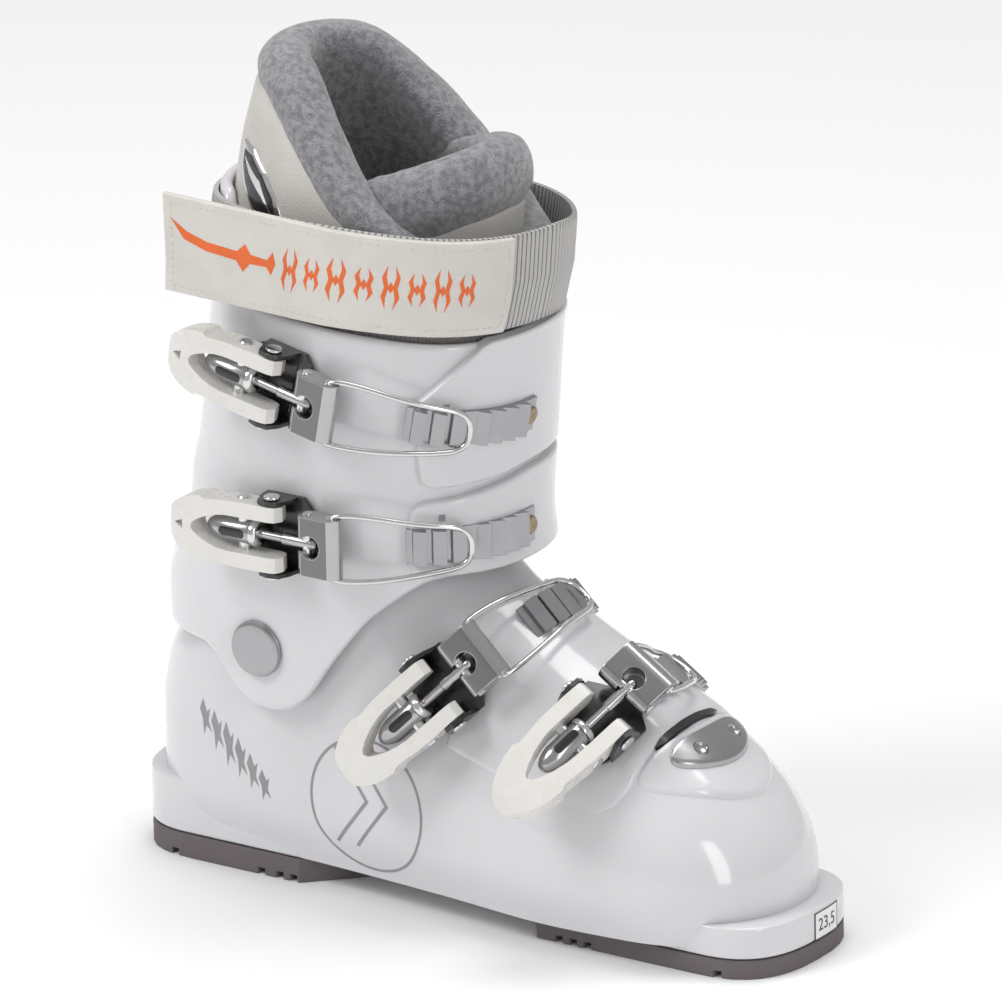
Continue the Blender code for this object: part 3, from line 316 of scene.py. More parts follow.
def rounded(mesh: Mesh, width: float, segments: int = 2, angle: float = 30.0) -> Mesh:
    """Bevels every edge at which the faces turn by more than angle degrees."""
    turn = math.radians(angle)
    sharp = [edge for edge in mesh.edges if edge.is_manifold and edge.calc_face_angle(0.0) > turn]
    bevelled(mesh, sharp, width, segments)
    bmesh.ops.remove_doubles(mesh, verts=mesh.verts, dist=0.001)
    return mesh


def inlay(outline: Points, place: Place, low: float, high: float, step: float, bevel: float = 0.0,
          segments: int = 3) -> Mesh:
    """Solid of a flat outline that is bent onto a surface.

    Args:
        outline: Corners in the flat.
        place: Turns flat x, flat y and a height above the surface into boot millimetres.
        low: Height of its back.
        high: Height of its face.
        step: Spacing of the cuts that let it bend.
        bevel: Rounding of the rim of its face.
        segments: Steps in that rounding.

    Returns:
        The bent solid.
    """
    mesh = plate(outline, low, high)
    if bevel:
        rim = [edge for edge in mesh.edges if all(vert.co.z > high - 0.001 for vert in edge.verts)]
        bevelled(mesh, rim, bevel, segments)
    for axis in (0, 1):
        normal = Vector((1, 0, 0)) if axis == 0 else Vector((0, 1, 0))
        start = min(vert.co[axis] for vert in mesh.verts)
        end = max(vert.co[axis] for vert in mesh.verts)
        for k in range(1, int((end - start) / step) + 1):
            geom = mesh.verts[:] + mesh.edges[:] + mesh.faces[:]
            bmesh.ops.bisect_plane(mesh, geom=geom, plane_co=normal * (start + k * step),
                                   plane_no=normal, dist=0.0001)
    layer = mesh.loops.layers.uv.new("UVMap")
    for face in mesh.faces:
        for loop in face.loops:
            loop[layer].uv = (loop.vert.co.x, loop.vert.co.y)
    for vert in mesh.verts:
        vert.co = place(*vert.co)
    bmesh.ops.recalc_face_normals(mesh, faces=mesh.faces)
    return mesh


def joined(meshes: Iterable[Mesh]) -> Mesh:
    """One mesh that holds all of these, which are freed."""
    whole = bmesh.new()
    for mesh in meshes:
        data = bpy.data.meshes.new("part")
        mesh.to_mesh(data)
        mesh.free()
        whole.from_mesh(data)
        bpy.data.meshes.remove(data)
    return whole


def cut(mesh: Mesh, operation: str, cutter: Mesh) -> Mesh:
    """Exact Boolean of a mesh with a cutter; both are used up."""
    made = []
    for part in (mesh, cutter):
        data = bpy.data.meshes.new("blank")
        part.to_mesh(data)
        part.free()
        blank = linked("blank", data)
        made.append(blank)
    target, helper = made
    modifier = target.modifiers.new("Boolean", "BOOLEAN")
    modifier.operation = operation
    modifier.object = helper
    result = bmesh.new()
    result.from_object(target, bpy.context.evaluated_depsgraph_get())
    for blank in made:
        data = blank.data
        bpy.data.objects.remove(blank)
        bpy.data.meshes.remove(data)
    bmesh.ops.remove_doubles(result, verts=result.verts, dist=0.001)
    return result


def welded(node: str) -> Mesh:
    """Copy of a CAD node's mesh in boot millimetres, with its doubles merged."""
    mesh = bmesh.new()
    mesh.from_mesh(bpy.data.objects[node].data)
    for vert in mesh.verts:
        vert.co = vert.co / MM + HEEL_TO_ORIGIN
    bmesh.ops.remove_doubles(mesh, verts=mesh.verts, dist=0.003)
    return mesh


def copied(node: str) -> Mesh:
    """Copy of a CAD node, with its triangles merged into flat faces."""
    mesh = welded(node)
    bmesh.ops.dissolve_limit(mesh, angle_limit=math.radians(1.5), verts=mesh.verts, edges=mesh.edges)
    return mesh


# ---------------------------------------------------------------- shader nodes

class Tree:
    """Short way to add nodes to a shader tree and link them."""

    def __init__(self, tree: bpy.types.NodeTree) -> None:
        """Wraps a node tree."""
        self.tree = tree

    def add(self, kind: str, inputs: Optional[dict] = None, **settings: object) -> bpy.types.Node:
        """Adds a node.

        Args:
            kind: The node's type name.
            inputs: Values or output sockets for its inputs, by name or number.
            settings: Properties of the node.

        Returns:
            The node.
        """
        node = self.tree.nodes.new(kind)
        for name, value in settings.items():
            setattr(node, name, value)
        for name, value in (inputs or {}).items():
            if isinstance(value, bpy.types.NodeSocket):
                self.tree.links.new(value, node.inputs[name])
            else:
                node.inputs[name].default_value = value
        return node

    def math(self, operation: str, *values: object) -> bpy.types.NodeSocket:
        """Math node with these values, and its output."""
        return self.add("ShaderNodeMath", dict(enumerate(values)), operation=operation).outputs[0]

    def span(self, value: object, low: float, high: float, to_low: float, to_high: float
             ) -> bpy.types.NodeSocket:
        """Value taken from one span to another, smoothly and clamped."""
        sockets = {"Value": value, "From Min": low, "From Max": high, "To Min": to_low, "To Max": to_high}
        return self.add("ShaderNodeMapRange", sockets, interpolation_type="SMOOTHSTEP").outputs["Result"]

    def mix(self, share: object, first: object, second: object) -> bpy.types.NodeSocket:
        """Colour mixed from first to second."""
        node = self.add("ShaderNodeMix", data_type="RGBA")
        for name, value in (("Factor", share), ("A", first), ("B", second)):
            socket = next(s for s in node.inputs if s.name == name and s.enabled)
            if isinstance(value, bpy.types.NodeSocket):
                self.tree.links.new(value, socket)
            else:
                socket.default_value = value
        return next(s for s in node.outputs if s.enabled)


class Effect(Enum):
    """Shared surface effects, each a node group with a vector in, and a height and a tint out."""

    MOTTLE = "mottle"
    GRAIN = "leather_grain"
    FLEECE = "fleece_fibre"
    WEAVE = "woven_ribs"
    BRUSHED = "brushed_lines"
    NET = "knitted_net"

    def group(self) -> bpy.types.NodeTree:
        """The effect's node group, built once."""
        found = bpy.data.node_groups.get(self.value)
        if found is not None:
            return found
        tree = bpy.data.node_groups.new(self.value, "ShaderNodeTree")
        tree.interface.new_socket("Vector", in_out="INPUT", socket_type="NodeSocketVector")
        tree.interface.new_socket("Scale", in_out="INPUT", socket_type="NodeSocketFloat")
        tree.interface.new_socket("Height", in_out="OUTPUT", socket_type="NodeSocketFloat")
        tree.interface.new_socket("Tint", in_out="OUTPUT", socket_type="NodeSocketFloat")
        made = Tree(tree)
        start = made.add("NodeGroupInput")
        sockets = {0: start.outputs["Vector"], "Scale": start.outputs["Scale"]}
        scaled = made.add("ShaderNodeVectorMath", sockets, operation="SCALE").outputs[0]
        height, tint = getattr(self, f"_{self.name.lower()}")(made, scaled)
        made.add("NodeGroupOutput", {"Height": height, "Tint": tint})
        return tree

    @staticmethod
    def _noise(made: Tree, vector: object, scale: float, detail: float = 3.0) -> bpy.types.NodeSocket:
        """Noise over the vector."""
        return made.add("ShaderNodeTexNoise", {"Vector": vector, "Scale": scale, "Detail": detail}).outputs[0]

    def _mottle(self, made: Tree, vector: object) -> tuple:
        """Soft cloudiness of moulded plastic, with fine handling marks."""
        cloud = self._noise(made, vector, 1.0)
        fine = self._noise(made, vector, 14.0, 6.0)
        return made.math("ADD", cloud, made.math("MULTIPLY", fine, 0.2)), cloud

    def _grain(self, made: Tree, vector: object) -> tuple:
        """Pebbled grain of coated leather."""
        cells = made.add("ShaderNodeTexVoronoi", {"Vector": vector, "Scale": 1.0}, feature="DISTANCE_TO_EDGE")
        pebble = made.span(cells.outputs["Distance"], 0.0, 0.28, 0.0, 1.0)
        return made.math("ADD", pebble, self._noise(made, vector, 3.0)), self._noise(made, vector, 0.06)

    def _fleece(self, made: Tree, vector: object) -> tuple:
        """Short matted pile, mottled light and dark."""
        clumps = self._noise(made, vector, 0.55, 5.0)
        pile = self._noise(made, vector, 2.6, 8.0)
        height = made.math("ADD", made.math("MULTIPLY", clumps, 1.4), pile)
        tint = made.math("ADD", made.math("MULTIPLY", clumps, 0.6), made.math("MULTIPLY", pile, 0.4))
        return height, made.span(tint, 0.32, 0.68, 0.25, 0.75)

    def _weave(self, made: Tree, vector: object) -> tuple:
        """Ribs across a band, with a twill step along each rib; the tint follows the height, so the troughs
        are darkened as painted shade.
        """
        axes = made.add("ShaderNodeSeparateXYZ", {0: vector}).outputs
        rib = made.math("SINE", made.math("MULTIPLY", axes[0], math.tau))
        step = made.math("MULTIPLY", made.math("ADD", axes[1], made.math("MULTIPLY", axes[0], 0.5)), math.tau)
        twill = made.math("SINE", step)
        height = made.math("ADD", rib, made.math("MULTIPLY", twill, 0.5))
        # The tint darkens the troughs between ribs: painted shade.
        return height, made.span(height, -1.2, 1.2, 0.0, 1.0)

    def _brushed(self, made: Tree, vector: object) -> tuple:
        """Fine parallel lines of brushed metal."""
        stretched = made.add("ShaderNodeMapping", {"Vector": vector, "Scale": (1.0, 1.0, 0.04)}).outputs[0]
        lines = self._noise(made, stretched, 6.0, 4.0)
        return lines, lines

    def _net(self, made: Tree, vector: object) -> tuple:
        """Open knitted mesh: round holes between threads."""
        cells = made.add("ShaderNodeTexVoronoi", {"Vector": vector, "Scale": 1.0, "Randomness": 0.25})
        thread = made.span(cells.outputs["Distance"], 0.2, 0.45, 0.0, 1.0)
        return thread, thread


@dataclass(frozen=True)
class Finish:
    """A material: its colours, its gloss and the effect that textures it."""

    name: str
    slot: str
    colour: tuple[float, float, float]
    dark: tuple[float, float, float]
    roughness: float
    effect: Effect = Effect.MOTTLE
    scale: float = 60.0
    relief: float = 0.02
    roughness_spread: float = 0.06
    metallic: float = 0.0
    coat: float = 0.0
    sheen: float = 0.0
    subsurface: float = 0.0
    anisotropy: float = 0.0
    worn: float = 0.0
    by_uv: bool = False

    def material(self) -> bpy.types.Material:
        """The Blender material, made once."""
        found = bpy.data.materials.get(self.name)
        if found is not None:
            return found
        material = bpy.data.materials.new(self.name)
        material.use_nodes = True
        tree = Tree(material.node_tree)
        shader = material.node_tree.nodes["Principled BSDF"]
        for name, value in (("Metallic", self.metallic), ("Coat Weight", self.coat), ("Coat Roughness", 0.04),
                            ("Sheen Weight", self.sheen), ("Sheen Roughness", 0.6),
                            ("Subsurface Weight", self.subsurface), ("Subsurface Scale", 0.004),
                            ("Anisotropic", self.anisotropy)):
            shader.inputs[name].default_value = value
        place = tree.add("ShaderNodeTexCoord").outputs["UV" if self.by_uv else "Object"]
        texture = tree.add("ShaderNodeGroup", node_tree=self.effect.group())
        tree.tree.links.new(place, texture.inputs["Vector"])
        texture.inputs["Scale"].default_value = self.scale
        tint = tree.span(texture.outputs["Tint"], 0.25, 0.75, 0.0, 1.0)
        colour = tree.mix(tint, (*self.dark, 1.0), (*self.colour, 1.0))
        if self.worn:
            edge = tree.add("ShaderNodeNewGeometry").outputs["Pointiness"]
            rub = tree.math("MULTIPLY", tree.span(edge, 0.52, 0.62, 0.0, 1.0), self.worn)
            bright = tuple(min(1.0, c * 1.6 + 0.04) for c in self.colour)
            colour = tree.mix(rub, colour, (*bright, 1.0))
        tree.tree.links.new(colour, shader.inputs["Base Color"])
        low, high = self.roughness - self.roughness_spread, self.roughness + self.roughness_spread
        gloss = tree.span(texture.outputs["Height"], 0.2, 1.0, low, high)
        tree.tree.links.new(gloss, shader.inputs["Roughness"])
        bump = tree.add("ShaderNodeBump", {"Height": texture.outputs["Height"], "Strength": 0.6,
                                           "Distance": self.relief * MM})
        tree.tree.links.new(bump.outputs["Normal"], shader.inputs["Normal"])
        return material


WHITE_SHELL = Finish("shell_white", "shell_plastic", (0.68, 0.675, 0.695), (0.66, 0.655, 0.675), 0.17,
                     scale=25.0, relief=0.03, coat=0.5, subsurface=0.1)
WHITE_CUFF = Finish("cuff_white", "shell_plastic", (0.68, 0.675, 0.695), (0.66, 0.655, 0.675), 0.19,
                    scale=28.0, relief=0.03, coat=0.45, subsurface=0.1)
LEVER_WHITE = Finish("lever_white", "lever_plastic", (0.74, 0.725, 0.69), (0.71, 0.695, 0.66), 0.28,
                     scale=90.0, relief=0.02, coat=0.25, subsurface=0.08)
BLACK_PLASTIC = Finish("bracket_black", "black_plastic", (0.018, 0.016, 0.018), (0.01, 0.009, 0.01), 0.3,
                       scale=120.0, relief=0.05, coat=0.3, worn=0.2)
SOLE_RUBBER = Finish("sole_rubber", "sole_rubber", (0.15, 0.128, 0.135), (0.11, 0.095, 0.10), 0.72,
                     scale=400.0, relief=0.3, worn=0.25)
BOARD_FOAM = Finish("board_foam", "board_foam", (0.22, 0.22, 0.23), (0.15, 0.15, 0.16), 0.9,
                    Effect.FLEECE, 900.0, 0.4)
CREAM_LEATHER = Finish("liner_cream", "liner_leather", (0.60, 0.575, 0.54), (0.55, 0.525, 0.49), 0.42,
                       Effect.GRAIN, 900.0, 0.16, coat=0.1, sheen=0.1)
STRAP_CREAM = Finish("strap_cream", "strap_leather", (0.66, 0.635, 0.59), (0.61, 0.585, 0.545), 0.36,
                     Effect.GRAIN, 1100.0, 0.08, coat=0.15)
STRAP_PRINT = Finish("strap_orange", "strap_leather", (0.80, 0.155, 0.03), (0.70, 0.13, 0.025), 0.5,
                     Effect.GRAIN, 1100.0, 0.08)
THREAD = Finish("sewing_thread", "strap_leather", (0.72, 0.70, 0.66), (0.5, 0.48, 0.45), 0.7,
                Effect.FLEECE, 3000.0, 0.05)
# The darker groove finish on the faces between the ribs, and the dark end of the webbing's weave tint, are
# painted shade.
WEBBING_GROOVE_SHADE = Finish("webbing_groove_shade", "strap_webbing", (0.34, 0.335, 0.33), (0.22, 0.215, 0.21), 0.8,
                        Effect.WEAVE, 1.0, 0.35, by_uv=True)
WEBBING = Finish("strap_webbing", "strap_webbing", (0.64, 0.63, 0.62), (0.26, 0.255, 0.25), 0.7,
                 Effect.WEAVE, 1.0, 0.35, sheen=0.3, by_uv=True)
FLEECE = Finish("grey_fleece", "fleece", (0.29, 0.288, 0.305), (0.13, 0.13, 0.142), 0.96,
                Effect.FLEECE, 700.0, 1.1, roughness_spread=0.03, sheen=0.5)
LINER_NET = Finish("liner_net", "fleece", (0.33, 0.315, 0.31), (0.13, 0.125, 0.125), 0.85,
                   Effect.NET, 1300.0, 0.4)
SATIN_SILVER = Finish("satin_silver", "silver_metal", (0.42, 0.41, 0.42), (0.40, 0.39, 0.40), 0.26,
                      scale=120.0, relief=0.002, roughness_spread=0.015, metallic=1.0)
LADDER_METAL = Finish("ladder_silver", "ladder_metal", (0.40, 0.392, 0.405), (0.37, 0.362, 0.375), 0.26,
                      scale=120.0, relief=0.002, roughness_spread=0.015, metallic=1.0, worn=0.6)
BARREL_SILVER = Finish("barrel_silver", "barrel_metal", (0.46, 0.46, 0.475), (0.43, 0.43, 0.445), 0.22,
                       Effect.BRUSHED, 500.0, 0.004, roughness_spread=0.03, metallic=1.0)
# A darker copy of the block's steel, for the flat faces of its wrap: painted shade.
SHADED_STEEL = Finish("dark_steel", "dark_steel", (0.17, 0.155, 0.16), (0.10, 0.09, 0.095), 0.34,
                    Effect.BRUSHED, 500.0, 0.01, metallic=0.9, anisotropy=0.4, worn=0.4)
LIGHT_STEEL = Finish("light_steel", "dark_steel", (0.50, 0.49, 0.495), (0.46, 0.45, 0.455), 0.24,
                     Effect.BRUSHED, 500.0, 0.004, roughness_spread=0.03, metallic=1.0)
CHROME = Finish("chrome", "chrome", (0.60, 0.605, 0.62), (0.56, 0.565, 0.58), 0.1,
                scale=150.0, relief=0.003, roughness_spread=0.02, metallic=1.0)
BRONZE = Finish("bronze_rivet", "bronze", (0.36, 0.27, 0.19), (0.31, 0.23, 0.16), 0.3,
                scale=300.0, relief=0.03, metallic=1.0)
PRINT_GREY = Finish("print_grey", "shell_plastic", (0.30, 0.295, 0.305), (0.27, 0.265, 0.275), 0.35,
                    scale=200.0, relief=0.01)
STICKER = Finish("sticker_white", "shell_plastic", (0.85, 0.85, 0.86), (0.80, 0.80, 0.81), 0.45,
                 scale=300.0, relief=0.01)


# ---------------------------------------------------------------- pieces

def linked(name: str, data: bpy.types.ID) -> bpy.types.Object:
    """New object of this data, in the scene."""
    made = bpy.data.objects.new(name, data)
    bpy.context.scene.collection.objects.link(made)
    return made


def piece(name: str, mesh: Mesh, finish: Finish, body: str, replaces: Sequence[str] = (),
          sharp: float = 35.0, other: Optional[Finish] = None,
          choose: Optional[Callable[[bmesh.types.BMFace], bool]] = None) -> bpy.types.Object:
    """Makes an object of a mesh and hangs it on its body.

    Args:
        name: The piece's name.
        mesh: Its mesh in boot millimetres, which is used up.
        finish: Its finish.
        body: The CAD body that it rides on.
        replaces: CAD nodes that it stands for.
        sharp: Angle in degrees past which an edge stays sharp.
        other: A second finish, for some of its faces.
        choose: Says which faces take the second finish.

    Returns:
        The object.
    """
    if choose is not None:
        mesh.normal_update()
        for face in mesh.faces:
            face.material_index = 1 if choose(face) else 0
    for vert in mesh.verts:
        vert.co = (vert.co - HEEL_TO_ORIGIN) * MM
    data = bpy.data.meshes.new(name)
    mesh.to_mesh(data)
    mesh.free()
    data.shade_smooth()
    data.set_sharp_from_angle(angle=math.radians(sharp))
    data.materials.append(finish.material())
    if other is not None:
        data.materials.append(other.material())
    made = linked(name, data)
    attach(made, body)
    if replaces:
        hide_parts(*replaces)
    log.info("%s: %d faces on %s", name, len(data.polygons), body)
    return made


def weighted(made: bpy.types.Object) -> bpy.types.Object:
    """Gives a bevelled piece weighted normals, so that its flat faces shade flat."""
    modifier = made.modifiers.new("Weighted Normal", "WEIGHTED_NORMAL")
    modifier.keep_sharp = True
    return made


def refined(node: str, name: str, finish: Finish, body: str, width: float, angle: float = 30.0
            ) -> bpy.types.Object:
    """Copy of a CAD node with rounded edges, standing for the node."""
    return weighted(piece(name, rounded(copied(node), width, 2, angle), finish, body, [node]))


def plump(made: bpy.types.Object, voxel: float, cap: float, pressure: float = 4.0) -> None:
    """Swells a closed piece like a stuffed pad by a short cloth simulation.

    Args:
        made: The piece, with no modifiers.
        voxel: Cell size of its remesh in millimetres.
        cap: How far a point may move, in millimetres.
        pressure: Pressure inside the cloth.
    """
    remesh = made.modifiers.new("Remesh", "REMESH")
    remesh.mode = "VOXEL"
    remesh.voxel_size = voxel * MM
    remesh.use_smooth_shade = True
    graph = bpy.context.evaluated_depsgraph_get()
    even = bpy.data.meshes.new_from_object(made.evaluated_get(graph))
    made.modifiers.clear()
    made.data = even
    rest = [vert.co.copy() for vert in even.vertices]
    cloth = made.modifiers.new("Cloth", "CLOTH")
    cloth.settings.quality = 5
    cloth.settings.mass = 0.3
    cloth.settings.tension_stiffness = 15
    cloth.settings.compression_stiffness = 15
    cloth.settings.bending_stiffness = 0.5
    cloth.settings.use_pressure = True
    cloth.settings.uniform_pressure_force = pressure
    cloth.settings.effector_weights.gravity = 0.0
    cloth.collision_settings.use_collision = False
    cloth.point_cache.frame_start = 1
    cloth.point_cache.frame_end = 20
    scene = bpy.context.scene
    for frame in range(1, 21):
        scene.frame_set(frame)
    graph = bpy.context.evaluated_depsgraph_get()
    swollen = made.evaluated_get(graph).to_mesh()
    moved = [vert.co.copy() for vert in swollen.vertices]
    made.evaluated_get(graph).to_mesh_clear()
    made.modifiers.clear()
    scene.frame_set(1)
    for vert, start, end in zip(even.vertices, rest, moved):
        step = end - start
        reach = step.length
        vert.co = start + step * (min(1.0, cap * MM / reach) if reach > 0 else 0.0)
    relaxed = bmesh.new()
    relaxed.from_mesh(even)
    for _ in range(2):
        bmesh.ops.smooth_vert(relaxed, verts=relaxed.verts, factor=0.5, use_axis_x=True, use_axis_y=True,
                              use_axis_z=True)
    relaxed.to_mesh(even)
    relaxed.free()
    surface = made.modifiers.new("Subdivision", "SUBSURF")
    surface.levels = 1
    surface.render_levels = 1
    even.shade_smooth()


def pile(mesh: Mesh, height: float, size: float) -> Mesh:
    """Lifts the points of a mesh by a little noise, as matted pile stands."""
    mesh.normal_update()
    for vert in mesh.verts:
        vert.co += vert.normal * noise.noise(vert.co / size) * height
    return mesh


# ---------------------------------------------------------------- lower shell and sole

@dataclass
class LowerShell:
    """Lower shell, its sole lugs and pads, the instep overlap, and the boss and plate on the toe."""

    points: int = 168
    rows: int = 84
    base_height: float = 9.6
    rim_height: float = 128.0
    wall: float = 5.0
    roof: float = 4.0
    floor: float = 6.0
    body: str = "shell"

    def shell(self) -> None:
        """The moulded shell, outside and inside."""
        tall = self.rim_height - self.base_height
        outside = [self.base_height + tall * (k / 55) ** 1.15 for k in range(56)]
        inside = [self.rim_height - 0.6 - (tall - self.floor) * k / 28 for k in range(29)]
        rings = [SHELL.ring(z, self.points) for z in outside]
        for z in inside:
            ring = SHELL.ring(z + self.roof, self.points, self.wall)
            rings.append([Vector((p.x, p.y, z)) for p in ring])

        def place(u: float, v: float) -> Vector:
            """Point of the ring at v, at u of the way round."""
            ring = rings[round(v * (len(rings) - 1))]
            return ring[round(u * self.points) % self.points]

        mesh = grid(self.points, len(rings) - 1, place, around=True)
        piece("shell_moulding", mesh, WHITE_SHELL, self.body, ["lower_shell"], 50.0)

    @staticmethod
    def lug(tip: float, root: float, half: float, steps: int = 40) -> list[tuple[float, float]]:
        """Plan of a sole lug, round at its tip."""
        ahead = 1 if tip > root else -1
        rounding = 29.0
        outline = [(root, -half)]
        for k in range(steps + 1):
            c, s = superellipse(math.radians(-90 + 180 * k / steps), 2.6)
            outline.append((tip - ahead * rounding + ahead * rounding * c, half * s))
        outline.append((root, half))
        return outline

    def lugs(self) -> None:
        """The ledges at toe and heel that a binding holds."""
        toe = rounded(plate(self.lug(274.0, 178.0, 34.5), 7.4, 19.0), 1.1, 3)
        piece("toe_ledge", toe, WHITE_SHELL, self.body)
        heel = rounded(plate(self.lug(0.0, 76.0, 34.0), 9.4, 30.0), 1.3, 3)
        piece("heel_ledge", heel, WHITE_SHELL, self.body)

    def pads(self) -> None:
        """Rubber pads with treads under toe and heel."""
        for name in ("toe_pad", "heel_pad"):
            refined(name, f"{name}_rubber", SOLE_RUBBER, self.body, 0.5)

    def overlap(self) -> None:
        """Outer lip of the overlap on the instep, with a curved front end over the toe."""
        outline = [(24, 0.0), (28, 0.02), (60, 0.0), (90, 0.0), (120, 0.0), (150, 0.0), (150, 1.0)]
        outline += [(degrees, 1.0 - 0.03 * abs(degrees - 90) / 40) for degrees in (120, 100, 80, 60, 45)]
        outline += [(34, 0.93), (27, 0.86), (24, 0.75)]

        def place(degrees: float, share: float, lift: float) -> Vector:
            """Point of the lip at a share of its length."""
            back = 158.0 - 14.0 * min(1.0, abs(degrees - 90) / 35)
            return SHELL.on_top(back + (222.0 - back) * share / 40.0, degrees, lift)

        flat = [(degrees, 40.0 * share) for degrees, share in outline]
        mesh = inlay(flat, place, -2.0, 2.4, 2.0, 1.6, 4)
        piece("instep_overlap", mesh, WHITE_SHELL, self.body)
        # A black strip on the lip's front end stands for the gap there: painted shadow.
        slot = [(64, 39.4), (70, 40.3), (86, 40.7), (104, 40.3), (110, 39.6), (104, 39.0), (70, 39.0)]
        piece("overlap_gap_shadow", inlay(slot, place, 0.4, 1.7, 2.0), BLACK_PLASTIC, self.body)

    def toe(self) -> None:
        """Leaf-shaped boss on the toe, and the metal lens with its two dimples."""
        leaf = []
        for k in range(48):
            angle = math.tau * k / 48
            y, x = 33.0 * math.cos(angle), 13.0 * math.sin(angle)
            leaf.append((237.5 + x * (1 - 0.25 * abs(math.cos(angle)) ** 3) - 0.0145 * y * y, y))

        def on_toe(x: float, y: float, lift: float) -> Vector:
            """Point over the toe."""
            return Vector((x, y, SHELL.over(x, y) + lift))

        boss = inlay(leaf, on_toe, -2.0, 2.0, 2.2, 1.2)
        piece("toe_boss", boss, WHITE_SHELL, self.body)
        lens = []
        for k in range(64):
            angle = math.tau * k / 64
            y = 21.5 * math.cos(angle)
            lens.append((234.0 + 6.3 * math.sin(angle) - 0.0125 * y * y, y))

        def crowned(x: float, y: float, lift: float) -> Vector:
            """Point over the toe, with a crown on the face of the lens."""
            ahead = (x - 234.0 + 0.0125 * y * y) / 6.3
            rise = 0.9 * max(0.0, 1 - ahead * ahead) * max(0.0, 1 - (y / 21.5) ** 2)
            return on_toe(x, y, lift + (rise if lift > 3.0 else 0.0))

        mesh = inlay(lens, crowned, 2.3, 4.2, 1.4, 0.7)
        bowl = [(-1.6, 0.0), (-1.5, 1.3), (-1.1, 2.3), (-0.4, 2.9), (0.4, 3.1), (4.0, 3.3), (4.0, 0.0)]
        for y in (-10.5, 10.5):
            seat = crowned(232.8, y, 4.2)
            out = (crowned(233.8, y, 4.2) - seat).cross(crowned(232.8, y + 1, 4.2) - seat).normalized()
            stand = Matrix.Translation(seat) @ out.to_track_quat("Z", "Y").to_matrix().to_4x4()
            mesh = cut(mesh, "DIFFERENCE", turned(bowl, stand, 36))
        piece("toe_lens", mesh, SATIN_SILVER, self.body, ["toe_plate"])

    def pivots(self) -> None:
        """Dished rivet heads at the ankle."""
        for name, side in (("pivot_outer", -1), ("pivot_inner", 1)):
            place = Matrix.Translation((70.0, 0, 92.0)) @ Matrix.Rotation(-side * math.pi / 2, 4, "X")
            outside = 47.4
            profile = [(36.0, 0.0), (36.0, 4.0), (outside, 4.0), (outside, 10.3), (outside + 0.9, 10.3),
                       (outside + 1.7, 9.9), (outside + 2.0, 9.2), (outside + 2.1, 8.6),
                       (outside + 2.35, 4.5), (outside + 2.45, 0.0)]
            piece(f"{name}_rivet", turned(profile, place, 56), SATIN_SILVER, self.body, [name])

    def prints(self) -> None:
        """Plain printed marks on the outer side."""
        parts = []
        outer = arc_points((111.0, 38.0), (25.5, 25.5), 0, 360, 72)[:-1]
        inner = arc_points((111.0, 38.0), (24.4, 24.4), 0, 360, 72)[:-1]
        for k in range(72):
            after = (k + 1) % 72
            cell = [outer[k], outer[after], inner[after], inner[k]]
            parts.append(inlay(cell, SHELL.on_side, -0.3, 0.06, 4.0))
        for shift in (0.0, 9.0):
            chevron = [(96 + shift, 58), (97.4 + shift, 58.3), (112 + shift, 40), (97.4 + shift, 21.7),
                       (96 + shift, 22), (110.2 + shift, 40)]
            parts.append(inlay(chevron, SHELL.on_side, -0.3, 0.06, 2.5))
        for k in range(6):
            x, z = 38.0 + 5.2 * k, 57.0 - 4.1 * k
            tall = 8.5 - abs(k - 2) * 0.9
            blade = [(x, z + tall), (x + 1.8, z + tall * 0.3), (x + 3.2, z + tall * 0.55),
                     (x + 2.4, z - tall * 0.2), (x + 3.8, z - tall * 0.8), (x + 1.4, z - tall * 0.45),
                     (x + 0.2, z - tall), (x - 0.3, z - tall * 0.1), (x - 1.6, z + tall * 0.4)]
            parts.append(inlay(blade, SHELL.on_side, -0.3, 0.06, 2.0))
        piece("side_print", joined(parts), PRINT_GREY, self.body)

    def size_label(self) -> None:
        """Size label on the front of the toe ledge."""
        def on_ledge(y: float, z: float, lift: float) -> Vector:
            """Point on the front wall of the toe ledge."""
            c = (1 - (abs(y) / 34.5) ** 2.6) ** (1 / 2.6)
            return Vector((245.0 + 29.0 * c + lift, y, z))

        low, high = (-2.5, 7.9), (12.5, 17.6)
        card = [low, (high[0], low[1]), high, (low[0], high[1])]
        piece("size_label", inlay(card, on_ledge, -0.3, 0.25, 1.5), STICKER, self.body)
        parts = []
        for (x0, z0), (x1, z1) in zip(card, card[1:] + card[:1]):
            thin = 0.2
            bar = [(min(x0, x1) - thin, min(z0, z1) - thin), (max(x0, x1) + thin, min(z0, z1) - thin),
                   (max(x0, x1) + thin, max(z0, z1) + thin), (min(x0, x1) - thin, max(z0, z1) + thin)]
            parts.append(inlay(bar, on_ledge, -0.2, 0.3, 1.5))
        curve = bpy.data.curves.new("size_number", "FONT")
        curve.body = "23,5"
        curve.size = 6.6
        curve.align_x = "CENTER"
        curve.align_y = "CENTER"
        curve.extrude = 0.05
        words = linked("size_number", curve)
        bpy.context.view_layer.update()
        number = bmesh.new()
        number.from_mesh(words.to_mesh())
        words.to_mesh_clear()
        bpy.data.objects.remove(words)
        bpy.data.curves.remove(curve)
        for vert in number.verts:
            vert.co = on_ledge(vert.co.x + 5.0, vert.co.y + 12.6, vert.co.z + 0.3)
        parts.append(number)
        piece("size_number_print", joined(parts), BLACK_PLASTIC, self.body)

    def build(self) -> None:
        """Builds all of it."""
        self.shell()
        self.lugs()
        self.pads()
        self.overlap()
        self.toe()
        self.pivots()
        self.prints()
        self.size_label()


# ---------------------------------------------------------------- cuff

